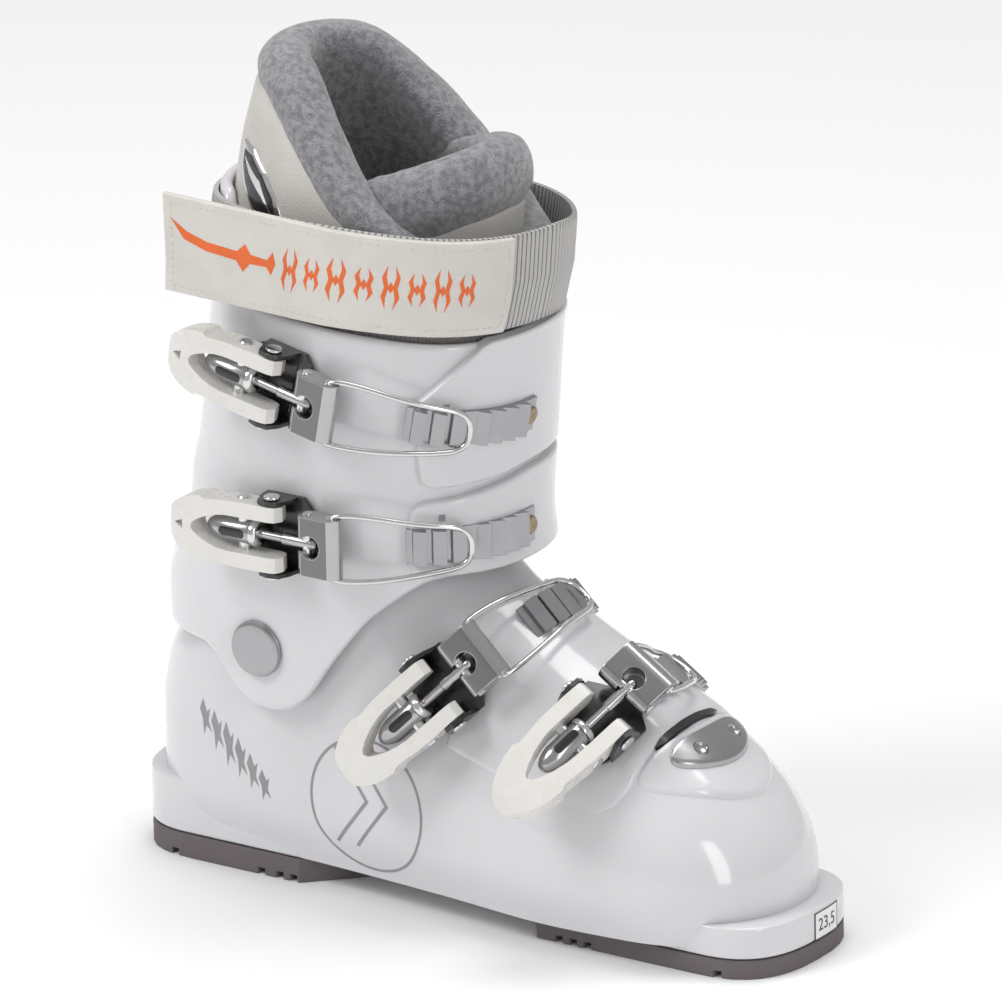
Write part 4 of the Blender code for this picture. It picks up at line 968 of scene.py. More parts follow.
@dataclass
class Cuff:
    """Cuff with its two overlap lips."""

    wall: float = 4.0
    points: int = 220
    body: str = "cuff"

    def moulding(self) -> None:
        """The cuff's wall, with rounded edges above and below."""
        heights = []
        for k in range(self.points):
            degrees = 360.0 * k / self.points
            heights.append((CUFF.edge_height(CUFF.lower_edge, degrees),
                            CUFF.edge_height(CUFF.top_edge, degrees)))
        wall = -self.wall
        stations = [(0.0, 0.0, -2.0), (0.0, 0.25, -1.0), (0.0, 0.9, -0.25), (0.0, 2.0, 0.0)]
        stations += [(k / 36, 0.0, 0.0) for k in range(1, 36)]
        stations += [(1.0, -2.0, 0.0), (1.0, -0.9, -0.25), (1.0, -0.25, -1.0), (1.0, 0.0, -2.0),
                     (1.0, -0.5, -3.4), (1.0, -1.5, wall)]
        stations += [(1 - k / 12, 0.0, wall) for k in range(1, 12)]
        stations += [(0.0, 1.5, wall), (0.0, 0.5, -3.4)]

        def place(u: float, v: float) -> Vector:
            """Point at u of the way round, at v of the way over the section."""
            k = round(u * self.points) % self.points
            share, rise, offset = stations[round(v * len(stations)) % len(stations)]
            low, high = heights[k]
            z = low + (high - low) * share + rise
            return CUFF.point(360.0 * k / self.points, z, offset)

        mesh = grid(self.points, len(stations), place, around=True, over=True)
        piece("cuff_moulding", mesh, WHITE_CUFF, self.body, ["cuff"], 60.0)

    def lips(self) -> None:
        """The two overlap lips at the front, the upper one cut off slanting at its top."""
        def place(x: float, z: float, lift: float) -> Vector:
            """Point on the cuff: x runs from the inner side to the outer side in degrees."""
            return CUFF.point(x, z, lift)

        upper = [(-60, 164), (0, 164), (20, 162), (36, 161), *arc_points((42, 167), (5.5, 6), -90, -10, 6),
                 (49, 178), (50, 191), (48.5, 194), (26, 212.5), (22, 214), (-60, 214)]
        lower = [(-60, 128), *arc_points((44, 134), (7, 6), -90, 0, 6),
                 *arc_points((44, 149.5), (6, 5.5), 0, 90, 6), (20, 158), (0, 160.5), (-60, 160.5)]
        for name, outline in (("upper_lip", upper), ("lower_lip", lower)):
            mesh = inlay(outline, place, -2.0, 3.5, 2.0, 1.4, 4)
            piece(name, mesh, WHITE_CUFF, self.body, (), 60.0)
        slots = []
        for z in (190.0, 148.6):
            slots.append(inlay([(37.5, z), (40, z), (40, z + 2.6), (37.5, z + 2.6)], place, 2.0, 3.56, 2.0))
        piece("lip_mould_marks", joined(slots), PRINT_GREY, self.body)

    def build(self) -> None:
        """Builds all of it."""
        self.moulding()
        self.lips()


# ---------------------------------------------------------------- liner

@dataclass
class Liner:
    """Removable inner boot: foot, collar, tongue and footbed."""

    split: float = 130.0
    outer: float = -4.8
    thickness: float = 8.0
    roll: float = 13.0
    top_edge: Knots = ((40, 309), (64, 306), (92, 288), (122, 262), (150, 246), (170, 244))
    body: str = "cuff"

    def low(self, degrees: float) -> float:
        """Lower edge of the collar in this direction."""
        return self.split + max(0.0, CUFF.point(degrees, self.split).x - 70.0) * math.tan(math.radians(7.5))

    def high(self, degrees: float) -> float:
        """Top of the collar in this direction."""
        return CUFF.edge_height(self.top_edge, degrees)

    def leather(self) -> None:
        """Cream outer skin of the collar, up to the fleece roll, with net below the strap."""
        points, rows = 180, 40
        skin = 1.6

        def place(u: float, v: float) -> Vector:
            """Point at u of the way round: v goes up the outside and down the inside."""
            degrees = 360.0 * u
            low, high = self.low(degrees), self.high(degrees) - self.roll + 2.0
            up = v < 0.5
            share = v * 2 if up else 2 - v * 2
            crease = 0.35 * noise.noise(Vector((degrees * 0.05, share * 9.0, 3.0)))
            offset = self.outer + crease - (0.0 if up else skin)
            return CUFF.point(degrees, low + (high - low) * share, offset)

        mesh = grid(points, rows * 2, place, around=True, over=True)
        made = piece("liner_skin", mesh, CREAM_LEATHER, self.body, ["liner_cuff"], 60.0, LINER_NET,
                     lambda face: face.calc_center_median().z < 226.0 and face.calc_center_median().x > 66.0)

    def fleece(self) -> None:
        """Padded fleece: a thick roll round the opening and the lining below it."""
        points = 150
        inner = self.outer - self.thickness - 7.0
        section = [(-self.roll, self.outer - 1.2), (-self.roll + 1.0, self.outer + 0.8),
                   (-10.0, self.outer + 1.6), (-5.5, self.outer + 1.2), (-2.0, self.outer - 1.4),
                   (-0.2, self.outer - 5.5), (0.0, self.outer - 9.5), (-2.0, inner + 0.6),
                   (-6.0, inner - 2.4), (-11.0, inner - 3.2), (-18.0, inner - 2.0)]
        depth = 9

        def place(u: float, v: float) -> Vector:
            """Point at u of the way round, at v of the way over the section."""
            degrees = 360.0 * u
            high, low = self.high(degrees), self.low(degrees) + 3.0
            count = len(section) + 2 * depth
            k = round(v * count) % count
            if k < len(section):
                drop, offset = section[k]
                return CUFF.point(degrees, high + drop, offset)
            share = (k - len(section) + 1) / (depth + 1) if k < len(section) + depth else 0.0
            if k < len(section) + depth:
                z = high - 18.0 + (low - high + 18.0) * share
                return CUFF.point(degrees, z, inner - 2.0 + 6.0 * share)
            back = (k - len(section) - depth) / depth
            z = low + (high - self.roll - low) * back
            return CUFF.point(degrees, z, self.outer - 2.0)

        mesh = grid(points, len(section) + 2 * depth, place, around=True, over=True)
        made = piece("collar_fleece", pile(mesh, 0.5, 4.0), FLEECE, self.body)
        plump(made, 2.8, 1.2)

    def tongue(self) -> None:
        """Tongue with a fleece bolster along its top and a cream face below."""
        front = self.outer - self.thickness - 5.0
        section = [(0.0, front), (0.35, front), (0.6, front), (0.78, front), (0.8, front + 2.2),
                   (0.86, front + 5.4), (0.93, front + 5.0), (0.985, front + 1.0), (1.0, front - 4.5),
                   (0.985, front - 9.5), (0.93, front - 13.0), (0.86, front - 13.6), (0.79, front - 11.5),
                   (0.74, front - 8.0), (0.35, front - 8.0), (0.0, front - 8.0)]
        count = len(section)

        def place(u: float, v: float) -> Vector:
            """Point at u of the way across, at v of the way over the section."""
            degrees = -94.0 + 188.0 * u
            low = self.low(degrees) + 4.0
            high = 281.0 - 16.0 * (degrees / 94.0) ** 2
            share, offset = section[round(v * count) % count]
            ends = 1.0 - 0.75 * abs(2 * u - 1) ** 3
            middle = front - 4.0
            return CUFF.point(degrees, low + (high - low) * share, middle + (offset - middle) * ends)

        mesh = grid(72, count, place, over=True)
        edges = [edge for edge in mesh.edges if edge.is_boundary]
        bmesh.ops.holes_fill(mesh, edges=edges)
        bmesh.ops.recalc_face_normals(mesh, faces=mesh.faces)
        made = piece("tongue_pad", pile(mesh, 0.3, 4.0), FLEECE, self.body, ["liner_tongue"])
        plump(made, 2.8, 1.2)

        def face(x: float, z: float, lift: float) -> Vector:
            """Point on the front of the tongue."""
            return CUFF.point(x, z, front + lift)

        outline = [(-54, 168), (54, 168), (54, 248), (46, 252), (0, 255), (-46, 252), (-54, 248)]
        panel = piece("tongue_face", inlay(outline, face, 0.4, 2.2, 4.0, 0.8), CREAM_LEATHER, self.body)

    def badge(self) -> None:
        """Plain dark badge with a bright rim on the outer side of the collar."""
        def place(x: float, z: float, lift: float) -> Vector:
            """Point on the collar's skin."""
            return CUFF.point(x, z, self.outer + lift)

        rim = [(138, 274), (128, 273), (117, 267), (108, 258), (102, 246), (111, 246), (122, 252),
               (131, 260), (137, 268)]
        inner = [(120 + (x - 120) * 0.8, 260.5 + (z - 260.5) * 0.8) for x, z in rim]
        piece("liner_badge_rim", inlay(rim, place, -0.5, 0.9, 3.0, 0.4), CHROME, self.body)
        piece("liner_badge", inlay(inner, place, 0.2, 1.15, 3.0, 0.2), BLACK_PLASTIC, self.body)
        streak = [(132, 269), (118, 263), (108, 251), (116, 258), (126, 264)]
        piece("liner_badge_streak", inlay(streak, place, 0.9, 1.25, 3.0), CHROME, self.body)

    def foot(self) -> None:
        """The liner's foot inside the shell, and the footbed and board under it."""
        count = 72
        depth, rise = 6.0, 5.0
        heights = [23.4, 30, 40, 50, 60, 72, 84, 97, 112, 127]
        rings = []
        for z in heights:
            rings.append([Vector((p.x, p.y, z)) for p in SHELL.ring(z + rise, count, depth)])
        for z in heights[::-1][:-1] + [27.4]:
            ring = SHELL.ring(max(z, 27.4) + rise + 8, count, depth + 8)
            rings.append([Vector((p.x, p.y, max(z, 27.4))) for p in ring])

        def place(u: float, v: float) -> Vector:
            """Point of the ring at v, at u of the way round."""
            return rings[round(v * (len(rings) - 1))][round(u * count) % count]

        mesh = grid(count, len(rings) - 1, place, around=True)
        made = piece("liner_foot_pad", mesh, FLEECE, "shell", ["liner_foot"], 60.0)
        bed = refined("footbed", "footbed_pad", FLEECE, "shell", 1.0)
        refined("boot_board", "board_slab", BOARD_FOAM, "shell", 1.0)

    def build(self) -> None:
        """Builds all of it."""
        self.leather()
        self.fleece()
        self.tongue()
        self.badge()
        self.foot()


# ---------------------------------------------------------------- power strap

@dataclass
class PowerStrap:
    """Webbing loop round the liner, and the stitched panel that closes over it."""

    width: float = 35.0
    front_edge: float = 20.0
    tail_start: float = 84.0
    tail: float = 66.0
    low: float = 2.8
    high: float = 5.2
    middle: Knots = ((-180, 233), (-90, 230), (-35, 230), (0, 234), (40, 236), (85, 238),
                     (130, 236), (180, 233))
    body: str = "cuff"

    def place(self, x: float, t: float, lift: float) -> Vector:
        """Point of the panel: x in degrees round the boot, then in millimetres along the free tail."""
        degrees = min(x, self.tail_start)
        point = CUFF.point(degrees, along(self.middle, degrees) + t, lift)
        ahead = Vector((-1.0, -0.12, 0.08)).normalized()
        return point + ahead * max(0.0, x - self.tail_start)

    def webbing(self) -> None:
        """The woven band right round."""
        half = self.width / 2
        section = [(-half, 0.7), (-half + 0.5, 0.6), (half - 0.5, 0.6), (half, 0.7), (half, 2.2),
                   (half - 0.5, 2.4), (half - 3, 2.4), (0, 2.4), (-half + 3, 2.4), (-half + 0.5, 2.4),
                   (-half, 2.2)]
        ribs, steps, ridge = 168, 5, 3
        columns = ribs * steps

        def place(u: float, v: float) -> Vector:
            """Point at u of the way round, at v of the way over the section."""
            degrees = -180.0 + 360.0 * u
            height, offset = section[round(v * len(section)) % len(section)]
            raised = round(u * columns) % steps < ridge
            if abs(height) > half - 0.6:
                height += math.copysign(0.12 if raised else -0.2, height)
            elif offset > 1.5:
                offset += 0.14 if raised else -0.14
            return CUFF.point(degrees, along(self.middle, degrees) + height, offset)

        mesh = grid(columns, len(section), place, around=True, over=True)
        layer = mesh.loops.layers.uv.verify()

        # Faces in the grooves between the ribs take the darker groove finish: painted shade.
        def rib(face: bmesh.types.BMFace) -> bool:
            """Whether a face lies in the groove between two ribs."""
            middle = sum(loop[layer].uv.x for loop in face.loops) / len(face.loops)
            return middle % 1.0 > (ridge - 0.5) / steps + 0.1

        length = sum((place((k + 1) / columns, 0) - place(k / columns, 0)).length for k in range(columns))
        for face in mesh.faces:
            for loop in face.loops:
                co = loop.vert.co
                u = loop[layer].uv.x
                degrees = -180.0 + 360.0 * u
                loop[layer].uv = (u * ribs, (co.z - along(self.middle, degrees)) / 2.4)
        made = piece("webbing_band", mesh, WEBBING, self.body, ["strap_webbing"], 50.0, WEBBING_GROOVE_SHADE,
                     rib)

    def outline(self, inset: float) -> list[tuple[float, float]]:
        """Flat outline of the panel, with a slanting end on its tail."""
        half = self.width / 2 - inset
        end = self.tail_start + self.tail
        return [(self.front_edge + inset * 0.9, -half), (end - 5.0 - inset, -half), (end - inset * 1.3, half),
                (self.front_edge + inset * 0.9, half)]

    def panel(self) -> None:
        """The cream panel, its seam and its printed band of blades."""
        mesh = inlay(self.outline(0.0), self.place, self.low, self.high, 3.0, 0.5)
        length = self.tail
        for k in range(72):
            x = self.front_edge + (self.tail_start - self.front_edge) * k / 72
            length += (self.place(x + (self.tail_start - self.front_edge) / 72, 0, self.low)
                       - self.place(x, 0, self.low)).length
        made = piece("strap_cover", mesh, STRAP_CREAM, self.body, ["strap_panel"], 50.0)
        seam = self.seam()
        prints = self.prints()

    def seam(self) -> bpy.types.Object:
        """Stitches round the edge of the panel."""
        corners = self.outline(2.6)
        corners.append(corners[0])
        stitches = []
        for (x0, y0), (x1, y1) in zip(corners, corners[1:]):
            count = max(2, int(math.dist((x0, y0), (x1, y1)) / 2.6))
            for k in range(count):
                share = (k + 0.5) / count
                x, y = x0 + (x1 - x0) * share, y0 + (y1 - y0) * share
                here = self.place(x, y, self.high - 0.05)
                step = 0.4 / math.dist((x0, y0), (x1, y1))
                after = self.place(x + (x1 - x0) * step, y + (y1 - y0) * step, self.high - 0.05)
                turn = (after - here).normalized().to_track_quat("X", "Z").to_matrix().to_4x4()
                bead = bmesh.new()
                bmesh.ops.create_uvsphere(bead, u_segments=6, v_segments=5, radius=1.0)
                shape = Matrix.Translation(here) @ turn @ Matrix.Diagonal((0.95, 0.3, 0.3, 1.0))
                bmesh.ops.transform(bead, matrix=shape, verts=bead.verts)
                stitches.append(bead)
        return piece("strap_seam", joined(stitches), THREAD, self.body)

    def prints(self) -> bpy.types.Object:
        """Printed ornament: a long blade at the tail, then a row of upright thorns."""
        low, high = self.high - 0.3, self.high + 0.06
        shapes = [[(146, 9.5), (139, 5.6), (131, 3.4), (119, 2.6), (116, 5.8), (113.5, 2.4), (107, 1.8),
                   (105, 5.2), (103.6, 1.0), (105, -3.4), (107, -0.8), (113.5, -1.0), (116, -4.4),
                   (119, -0.8), (131, 0.0), (140, 2.6)]]
        for k in range(8):
            x = 98.0 - 8.6 * k
            tall = (8.2, 6.2)[k % 2]
            for side in (-1, 1):
                thorn = [(2.2, 0.0), (3.0, 0.45), (1.2, 1.0), (1.6, 0.5), (0.7, 0.0), (1.6, -0.5), (1.2, -1.0),
                         (3.0, -0.45)]
                shapes.append([(x + reach * side, tall * share) for reach, share in thorn])
            shapes.append([(x, 2.1), (x + 1.1, 0.0), (x, -2.1), (x - 1.1, 0.0)])
        parts = [inlay(shape, self.place, low, high, 1.5) for shape in shapes]
        return piece("strap_print", joined(parts), STRAP_PRINT, self.body)

    def build(self) -> None:
        """Builds all of it."""
        self.webbing()
        self.panel()


# ---------------------------------------------------------------- buckles

@dataclass
class Buckle:
    """One buckle, drawn in its own frame: s ahead, h out of the boot, w across."""

    number: int
    carrier: str
    joints: Sequence[dict]
    pin_height: float = 9.0
    crank: float = 12.5
    crank_drop: float = 0.9
    block_start: float = 11.0
    block_end: float = 28.5
    block_half: float = 11.0
    block_thick: float = 4.2
    wire: float = 1.05
    slot_half: float = 6.6
    stretch: float = 1.0

    def __post_init__(self) -> None:
        """Reads the buckle's frame from its joints."""
        joints = {joint["name"]: joint for joint in self.joints}
        hinge = joints[f"buckle{self.number}_lever_hinge"]
        slide = joints[f"buckle{self.number}_micro_adjust"]
        across = -Vector(hinge["axis"]).normalized()
        ahead = Vector(slide["axis"]).normalized()
        normal = across.cross(ahead)
        self.local = Matrix((ahead, normal, across)).transposed().to_4x4()
        self.local.translation = Vector(hinge["pos_m"]) / MM + HEEL_TO_ORIGIN - normal * self.pin_height
        self.crank_height = self.pin_height - self.crank_drop

    @property
    def name(self) -> str:
        """Start of the names of its pieces."""
        return f"buckle{self.number}"

    def body(self, part: str) -> str:
        """Name of the body of one of its moving parts."""
        return f"{self.name}_{part}_body"

    def across(self, outline: Points, low: float, high: float) -> Mesh:
        """Side view in (s, h), extruded across."""
        return plate(outline, low, high, self.local)

    def upright(self, outline: Points, low: float, high: float) -> Mesh:
        """Plan in (s, w), extruded along h."""
        stand = Matrix(((1, 0, 0, 0), (0, 0, 1, 0), (0, 1, 0, 0), (0, 0, 0, 1)))
        mesh = plate(outline, low, high, self.local @ stand)
        bmesh.ops.recalc_face_normals(mesh, faces=mesh.faces)
        return mesh

    def axle(self, s: float, h: float) -> Matrix:
        """Frame whose z axis runs across at (s, h)."""
        return self.local @ Matrix.Translation((s, h, 0))

    def forward(self, s: float, h: float) -> Matrix:
        """Frame whose z axis runs ahead from (s, h)."""
        return self.axle(s, h) @ Matrix.Rotation(math.pi / 2, 4, "Y")

    def lever(self) -> None:
        """Slotted lever with a thick curved end, a step in each side and a small recess."""
        top = ((-43, 1.4), (-41, 3.6), (-37, 4.9), (-30, 5.4), (-20, 5.3), (-8, 4.7), (0, 4.4), (3.6, 3.4),
               (4.8, 0.6))
        bottom = ((-43, 1.2), (-40, -1.8), (-34, -3.6), (-26, -4.5), (-12, -4.8), (0, -4.7), (3.4, -3.6),
                  (4.8, 0.4))
        droop = 0.16 * (self.stretch - 1.0) / 0.25

        def drawn(outline: Points) -> list[tuple[float, float]]:
            """Outline with its free end drawn out."""
            return [(s if s > -20 else -20 + (s + 20) * self.stretch, w) for s, w in outline]

        def line(edge: Knots, places: Sequence[float]) -> list[tuple[float, float]]:
            """An edge of the side view at these places, with its free end let down."""
            return [(s, self.pin_height + along(edge, s) + droop * min(0.0, s + 20)) for s in places]

        stations = [-43 + 47.8 * k / 30 for k in range(31)]
        side = line(top, stations) + line(bottom, stations[::-1][1:-1])
        body = self.across(drawn(side), -16.0, 16.0)
        half = [(5.2, 11.6), (4.2, 12.1), (-8, 12.3), (-17, 12.1), (-24, 11.2), (-26, 11.2), (-27.4, 12.1),
                (-31, 11.6), (-35, 10.2), (-38.6, 8.0), (-41.4, 5.2), (-42.8, 2.6)]
        plan = half + [(-43.4, 0.0)] + [(s, -w) for s, w in half[::-1]]
        body = cut(body, "INTERSECT", self.upright(drawn(plan), -5.0, 25.0))
        edge = [(12.0, self.slot_half), (-17.0, self.slot_half), (-21.0, 6.1), (-25.0, 4.9), (-28.5, 3.3),
                (-31.0, 1.6)]
        gap = [(s, -w) for s, w in edge] + [(-31.8, 0.0)] + edge[::-1]
        body = cut(body, "DIFFERENCE", self.upright(drawn(gap), -5.0, 25.0))
        notch = [(-39.2, 0.0), (-35.4, -1.8), (-35.4, 1.8)]
        body = cut(body, "DIFFERENCE", self.upright(drawn(notch), self.pin_height + 2.8, 25.0))
        bmesh.ops.dissolve_limit(body, angle_limit=math.radians(2.0), verts=body.verts, edges=body.edges)
        mesh = rounded(body, 0.8, 2, 40.0)
        weighted(piece(f"{self.name}_lever_arm", mesh, LEVER_WHITE, self.body("lever"),
                       [f"{self.name}_lever"]))

    def barrel(self) -> None:
        """Bullet-shaped barrel with a blank black label, a chrome collar and trunnions."""
        place = self.forward(-self.crank, self.crank_height)
        profile = [(-15.5, 0.0), (-15.4, 1.2), (-14.6, 2.3), (-13.0, 3.3), (-10.6, 4.2), (-8.4, 4.6),
                   (3.4, 4.6), (3.8, 4.4), (3.9, 3.6), (3.9, 0.0)]
        body = self.body("barrel")
        piece(f"{self.name}_barrel_body", turned(profile, place, 32), BARREL_SILVER, body,
              [f"{self.name}_barrel"])
        collar = [(3.9, 0.0), (3.9, 4.3), (4.3, 4.9), (5.6, 5.0), (6.4, 4.6), (7.0, 3.6), (7.2, 2.2),
                  (7.2, 0.0)]
        trunnion = [(-13.0, 0.0), (-13.0, 2.1), (-12.5, 2.5), (12.5, 2.5), (13.0, 2.1), (13.0, 0.0)]
        bright = [turned(collar, place, 32), turned(trunnion, self.axle(-self.crank, self.crank_height), 20)]
        piece(f"{self.name}_barrel_collar", joined(bright), CHROME, body)

        def wrap(x: float, y: float, lift: float) -> Vector:
            """Point on top of the barrel."""
            turn = y / 4.6
            radius = 4.6 + lift
            return self.local @ Vector((x - self.crank, self.crank_height + radius * math.cos(turn),
                                        radius * math.sin(turn)))

        label = arc_points((-6.6, 0), (1.7, 1.7), 90, 270, 8) + arc_points((0.9, 0), (1.7, 1.7), -90, 90, 8)
        piece(f"{self.name}_barrel_label", inlay(label, wrap, -0.2, 0.12, 0.8), BLACK_PLASTIC, body)

    def block(self) -> None:
        """Wrapped steel block with a keyhole, the rod's head in it and pins in its ends."""
        start, end, half = self.block_start, self.block_end, self.block_thick
        side = arc_points((start + 4.2, 0), (4.2, half), 90, 270, 10)
        side += arc_points((end - 5.2, 0), (5.2, half), -90, 90, 10)
        side = [(s, h + self.crank_height) for s, h in side]
        body = self.across(side, -self.block_half, self.block_half)
        hole = [(start - 2, -2.3), *arc_points((start + 6.8, 0), (4.1, 4.1), -145, 145, 24), (start - 2, 2.3)]
        body = cut(body, "DIFFERENCE", self.upright(hole, self.crank_height - 2.2, 30.0))
        mesh = rounded(body, 0.35, 2, 50.0)
        # The flat faces of the wrap, picked by the way they face, take the darker copy of the steel: painted
        # shade; the rounded ends keep the lighter steel.
        normal = self.local.col[1].to_3d()
        name = self.name
        weighted(piece(f"{name}_block_wrap", mesh, LIGHT_STEEL, self.body("block"), [f"{name}_block"], 35.0,
                       SHADED_STEEL, lambda face: abs(face.normal.dot(normal)) > 0.97))
        rod = [(-20, 0.0), (-20, 1.6), (-5.2, 1.6), (-4.6, 2.1), (7.0, 2.1), (8.6, 1.9), (9.4, 1.2),
               (9.7, 0.0)]
        place = self.forward(self.block_start - 2.0, self.crank_height)
        piece(f"{name}_rod", turned(rod, place, 24), LIGHT_STEEL, self.body("block"))
        pins = []
        for s in (start + 3.4, end - 4.2):
            head = [(-11.5, 0.0), (-11.5, 1.5), (-11.2, 1.9), (11.2, 1.9), (11.5, 1.5), (11.5, 0.0)]
            pins.append(turned(head, self.axle(s, self.crank_height), 20))
        piece(f"{name}_block_pins", joined(pins), CHROME, self.body("block"))

    def bail(self) -> None:
        """Chrome wire, bent round behind one of the ladder's teeth."""
        path = self.wire_path()
        curve = bpy.data.curves.new(f"{self.name}_bail_wire", "CURVE")
        curve.dimensions = "3D"
        curve.bevel_depth = self.wire * MM
        curve.bevel_resolution = 4
        curve.resolution_u = 8
        curve.use_fill_caps = True
        spline = curve.splines.new("NURBS")
        spline.points.add(len(path) - 1)
        for control, point in zip(spline.points, path):
            control.co = (*((point - HEEL_TO_ORIGIN) * MM), 1.0)
        spline.order_u = 3
        spline.use_endpoint_u = True
        curve.materials.append(CHROME.material())
        made = linked(f"{self.name}_bail_wire", curve)
        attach(made, self.body("bail"))
        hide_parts(f"{self.name}_bail")

    def fixed(self) -> None:
        """Bracket, hinge pins, ladder and its rivet, which stay on the boot."""
        name, body = self.name, self.carrier
        base = copied(f"{name}_base")
        geom = base.verts[:] + base.edges[:] + base.faces[:]
        bmesh.ops.bisect_plane(base, geom=geom, plane_co=self.local @ Vector((19.0, 0, 0)),
                               plane_no=self.local.col[0].to_3d(), clear_outer=True)
        bmesh.ops.holes_fill(base, edges=[edge for edge in base.edges if edge.is_boundary])
        weighted(piece(f"{name}_bracket", rounded(base, 0.45), BLACK_PLASTIC, body, [f"{name}_base"]))
        for end in ("lower", "upper"):
            refined(f"{name}_{end}_pin", f"{name}_{end}_pin_head", CHROME, body, 0.3)
        self.ladder()

    def seat(self, turn: float) -> Vector:
        """Point of the surface under the ladder, in this direction round the boot."""
        start = self.local.translation
        across = self.local.col[2].to_3d()
        if self.carrier == "cuff":
            z = start.z
            for _ in range(6):
                point = CUFF.point(turn, z, 3.0)
                z -= (point - start).dot(across) / across.z
            return CUFF.point(turn, z, 3.0)
        x = start.x
        for _ in range(8):
            point = SHELL.on_top(x, turn, 3.0)
            x -= (point - start).dot(across) / across.x
        return SHELL.on_top(x, turn, 3.0)

    def ladder(self) -> None:
        """Ladder: three box teeth for the wire, then flatter wedges, and the rivet in its end."""
        turns = [70.0 - k for k in range(110)] if self.carrier == "cuff" else [20.0 + k for k in range(120)]
        path = [self.seat(turn) for turn in turns]
        wire = self.wire_path()
        hook = max(wire, key=lambda point: (self.local.inverted() @ point).x)
        nearest = min(range(len(path)), key=lambda k: (path[k] - hook).length)
        lengths = [0.0]
        for a, b in zip(path, path[1:]):
            lengths.append(lengths[-1] + (b - a).length)
        zero = lengths[nearest]
        across = self.local.col[2].to_3d()

        def place(t: float, h: float, w: float) -> Vector:
            """Point at t along the ladder from the wire, h above its seat and w across."""
            k = next((i for i, d in enumerate(lengths) if d - zero > t), len(path)) - 1
            k = max(1, min(len(path) - 2, k))
            share = (t + zero - lengths[k]) / (lengths[k + 1] - lengths[k])
            point = path[k].lerp(path[k + 1], share)
            wider = path[min(k + 2, len(path) - 1)] - path[k - 1]
            ahead = (path[k + 1] - path[k]).lerp(wider, 0.5).normalized()
            return point + across.cross(ahead).normalized() * h + across * w

        profile = [(-21.5, -0.4), (-21.5, 1.2)]
        for k in range(3):
            front = -1.4 - 6.6 * (2 - k)
            profile += [(front - 4.6, 1.4), (front - 4.4, 3.4), (front - 0.5, 4.9), (front, 5.0),
                        (front, 1.4)]
        for k in range(4):
            front = 7.6 + 5.6 * k
            profile += [(front - 4.6, 1.4), (front - 0.6, 3.9), (front, 4.0), (front, 1.4)]
        profile += [(31.0, 1.3), (31.0, -0.4)]
        mesh = inlay(profile, place, -6.4, 6.4, 2.0)
        piece(f"{self.name}_ladder_rack", rounded(mesh, 0.16, 1, 25.0), LADDER_METAL, self.carrier,
              [f"{self.name}_ladder"], 25.0)
        seat = place(28.0, 0.0, 0.0)
        out = (place(28.0, 1.0, 0.0) - seat).normalized()
        stand = Matrix.Translation(seat) @ out.to_track_quat("Z", "Y").to_matrix().to_4x4()
        head = [(0.5, 0.0), (0.5, 3.4), (1.9, 3.4), (2.5, 2.9), (2.7, 1.6), (2.4, 0.9), (2.4, 0.0)]
        piece(f"{self.name}_rivet_head", turned(head, stand, 28), BRONZE, self.carrier,
              [f"{self.name}_ladder_rivet"])

    def wire_path(self) -> list[Vector]:
        """Middle line of the bail wire, evened out and drawn together towards its hook."""
        start = self.local @ Vector((self.block_end - 4.2, self.crank_height, 7.0))
        points = [self.local.inverted() @ point for point in copied_rings(f"{self.name}_bail", start)]
        reach = max(point.x for point in points)
        for point in points:
            point.z *= 1.0 - 0.28 * smooth((point.x - self.block_end) / (reach - self.block_end))
        for _ in range(3):
            points = [points[0], points[1]] + [
                b.lerp((a + c) / 2, 0.5) for a, b, c in zip(points[1:], points[2:], points[3:])] + points[-2:]
        return [self.local @ point for point in points]

    def build(self) -> None:
        """Builds all of it."""
        self.fixed()
        self.lever()
        self.barrel()
        self.block()
        self.bail()


def copied_rings(node: str, start: Vector) -> list[Vector]:
    """Centres of the rings of a CAD wire, in order from the ring nearest to start."""
    mesh = welded(node)
    front = sorted(mesh.verts, key=lambda vert: (vert.co - start).length)[:6]
    seen = set(front)
    centres = []
    while front:
        centres.append(sum((vert.co for vert in front), Vector()) / len(front))
        following = []
        for vert in front:
            for edge in vert.link_edges:
                other = edge.other_vert(vert)
                if other not in seen:
                    seen.add(other)
                    following.append(other)
        front = following
    mesh.free()
    return centres


# ---------------------------------------------------------------- studio

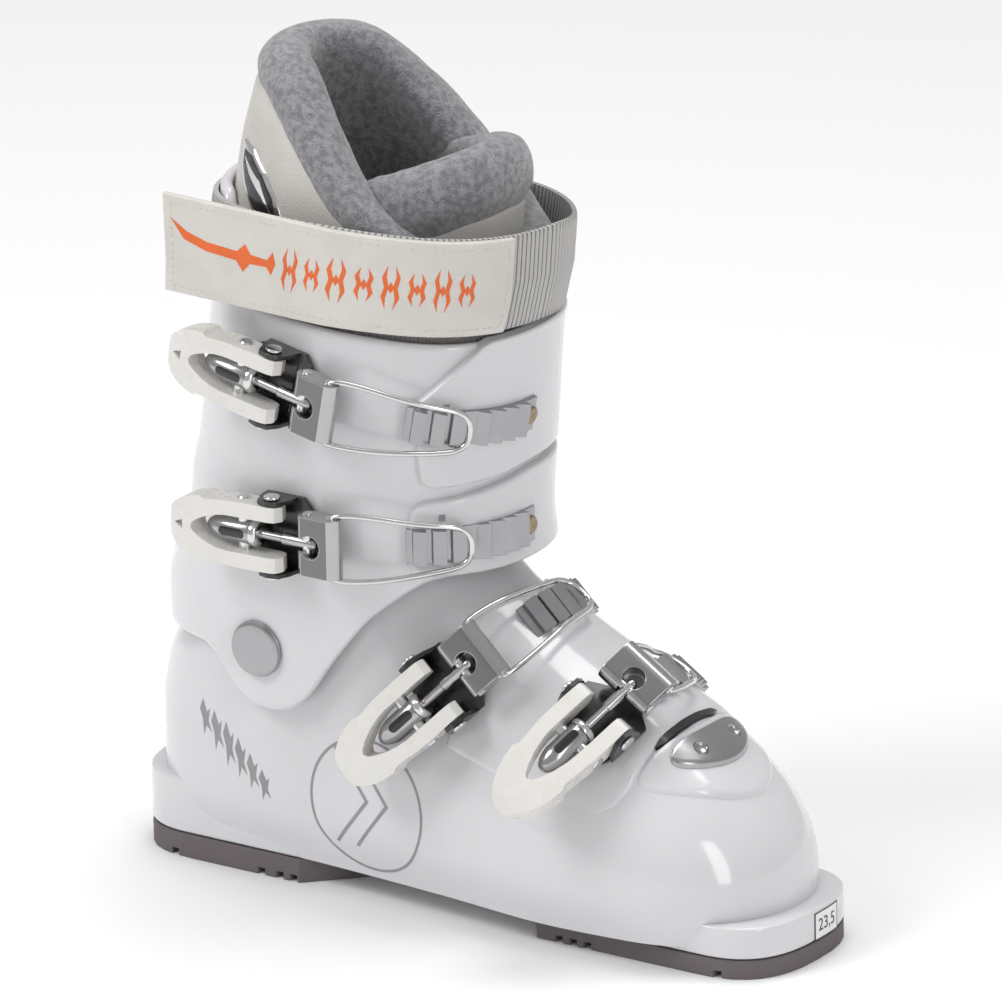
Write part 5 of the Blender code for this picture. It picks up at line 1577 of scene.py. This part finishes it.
@dataclass
class Studio:
    """Camera, floor and lights."""

    target: Vector = Vector((0.10499, 0.0, 0.14597))
    azimuth: float = 34.5
    elevation: float = 19.3
    roll: float = 0.02
    distance: float = 4.5
    lens: float = 460.4

    def camera(self) -> None:
        """Camera on the outer side, ahead of the ankle."""
        turn, rise = math.radians(self.azimuth), math.radians(self.elevation)
        back = Vector((math.sin(turn) * math.cos(rise), -math.cos(turn) * math.cos(rise), math.sin(rise)))
        right = Vector((math.cos(turn), math.sin(turn), 0))
        up = back.cross(right)
        side = right * math.cos(self.roll) - up * math.sin(self.roll)
        top = right * math.sin(self.roll) + up * math.cos(self.roll)
        data = bpy.data.cameras.new("camera")
        data.lens = self.lens
        data.sensor_width = 36.0
        data.clip_end = 100.0
        made = linked("camera", data)
        matrix = Matrix((side, top, back)).transposed().to_4x4()
        matrix.translation = self.target + back * self.distance
        made.matrix_world = matrix
        bpy.context.scene.camera = made

    def floor(self) -> None:
        """Plain pale floor."""
        mesh = bmesh.new()
        bmesh.ops.create_grid(mesh, x_segments=1, y_segments=1, size=30.0)
        data = bpy.data.meshes.new("floor")
        mesh.to_mesh(data)
        mesh.free()
        material = bpy.data.materials.new("floor_pale")
        material.use_nodes = True
        shader = material.node_tree.nodes["Principled BSDF"]
        shader.inputs["Base Color"].default_value = (0.93, 0.93, 0.935, 1.0)
        shader.inputs["Roughness"].default_value = 0.9
        shader.inputs["Specular IOR Level"].default_value = 0.1
        data.materials.append(material)
        made = linked("floor", data)

    @staticmethod
    def lamp(name: str, place: Vector, size: float, power: float, tall: float = 0.0) -> None:
        """Soft square lamp that looks at the boot."""
        data = bpy.data.lights.new(name, "AREA")
        data.energy = power
        data.size = size
        if tall:
            data.shape = "RECTANGLE"
            data.size_y = tall
        made = linked(name, data)
        turn = (place - Vector((0.1, 0.0, 0.15))).to_track_quat("Z", "Y")
        made.matrix_world = Matrix.Translation(place) @ turn.to_matrix().to_4x4()

    def build(self) -> None:
        """Builds all of it."""
        self.camera()
        self.floor()
        self.lamp("key", Vector((-0.9, -1.3, 1.7)), 0.9, 19.0, 0.9)
        self.lamp("side", Vector((1.9, -0.9, 0.7)), 0.35, 6.0, 1.3)
        self.lamp("top", Vector((0.2, 0.3, 2.2)), 1.2, 22.0)
        world = bpy.data.worlds.new("studio")
        world.use_nodes = True
        world.node_tree.nodes["Background"].inputs["Color"].default_value = (1.0, 1.0, 1.0, 1.0)
        world.node_tree.nodes["Background"].inputs["Strength"].default_value = 0.5
        scene = bpy.context.scene
        scene.world = world
        scene.view_settings.view_transform = "Standard"


def main() -> None:
    """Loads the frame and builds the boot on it."""
    logging.basicConfig(level=logging.INFO)
    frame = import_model()
    Studio().build()
    LowerShell().build()
    Cuff().build()
    Liner().build()
    PowerStrap().build()
    for number, carrier, stretch in BUCKLES:
        Buckle(number, carrier, frame["joints"], stretch=stretch).build()


if __name__ == "__main__":
    main()
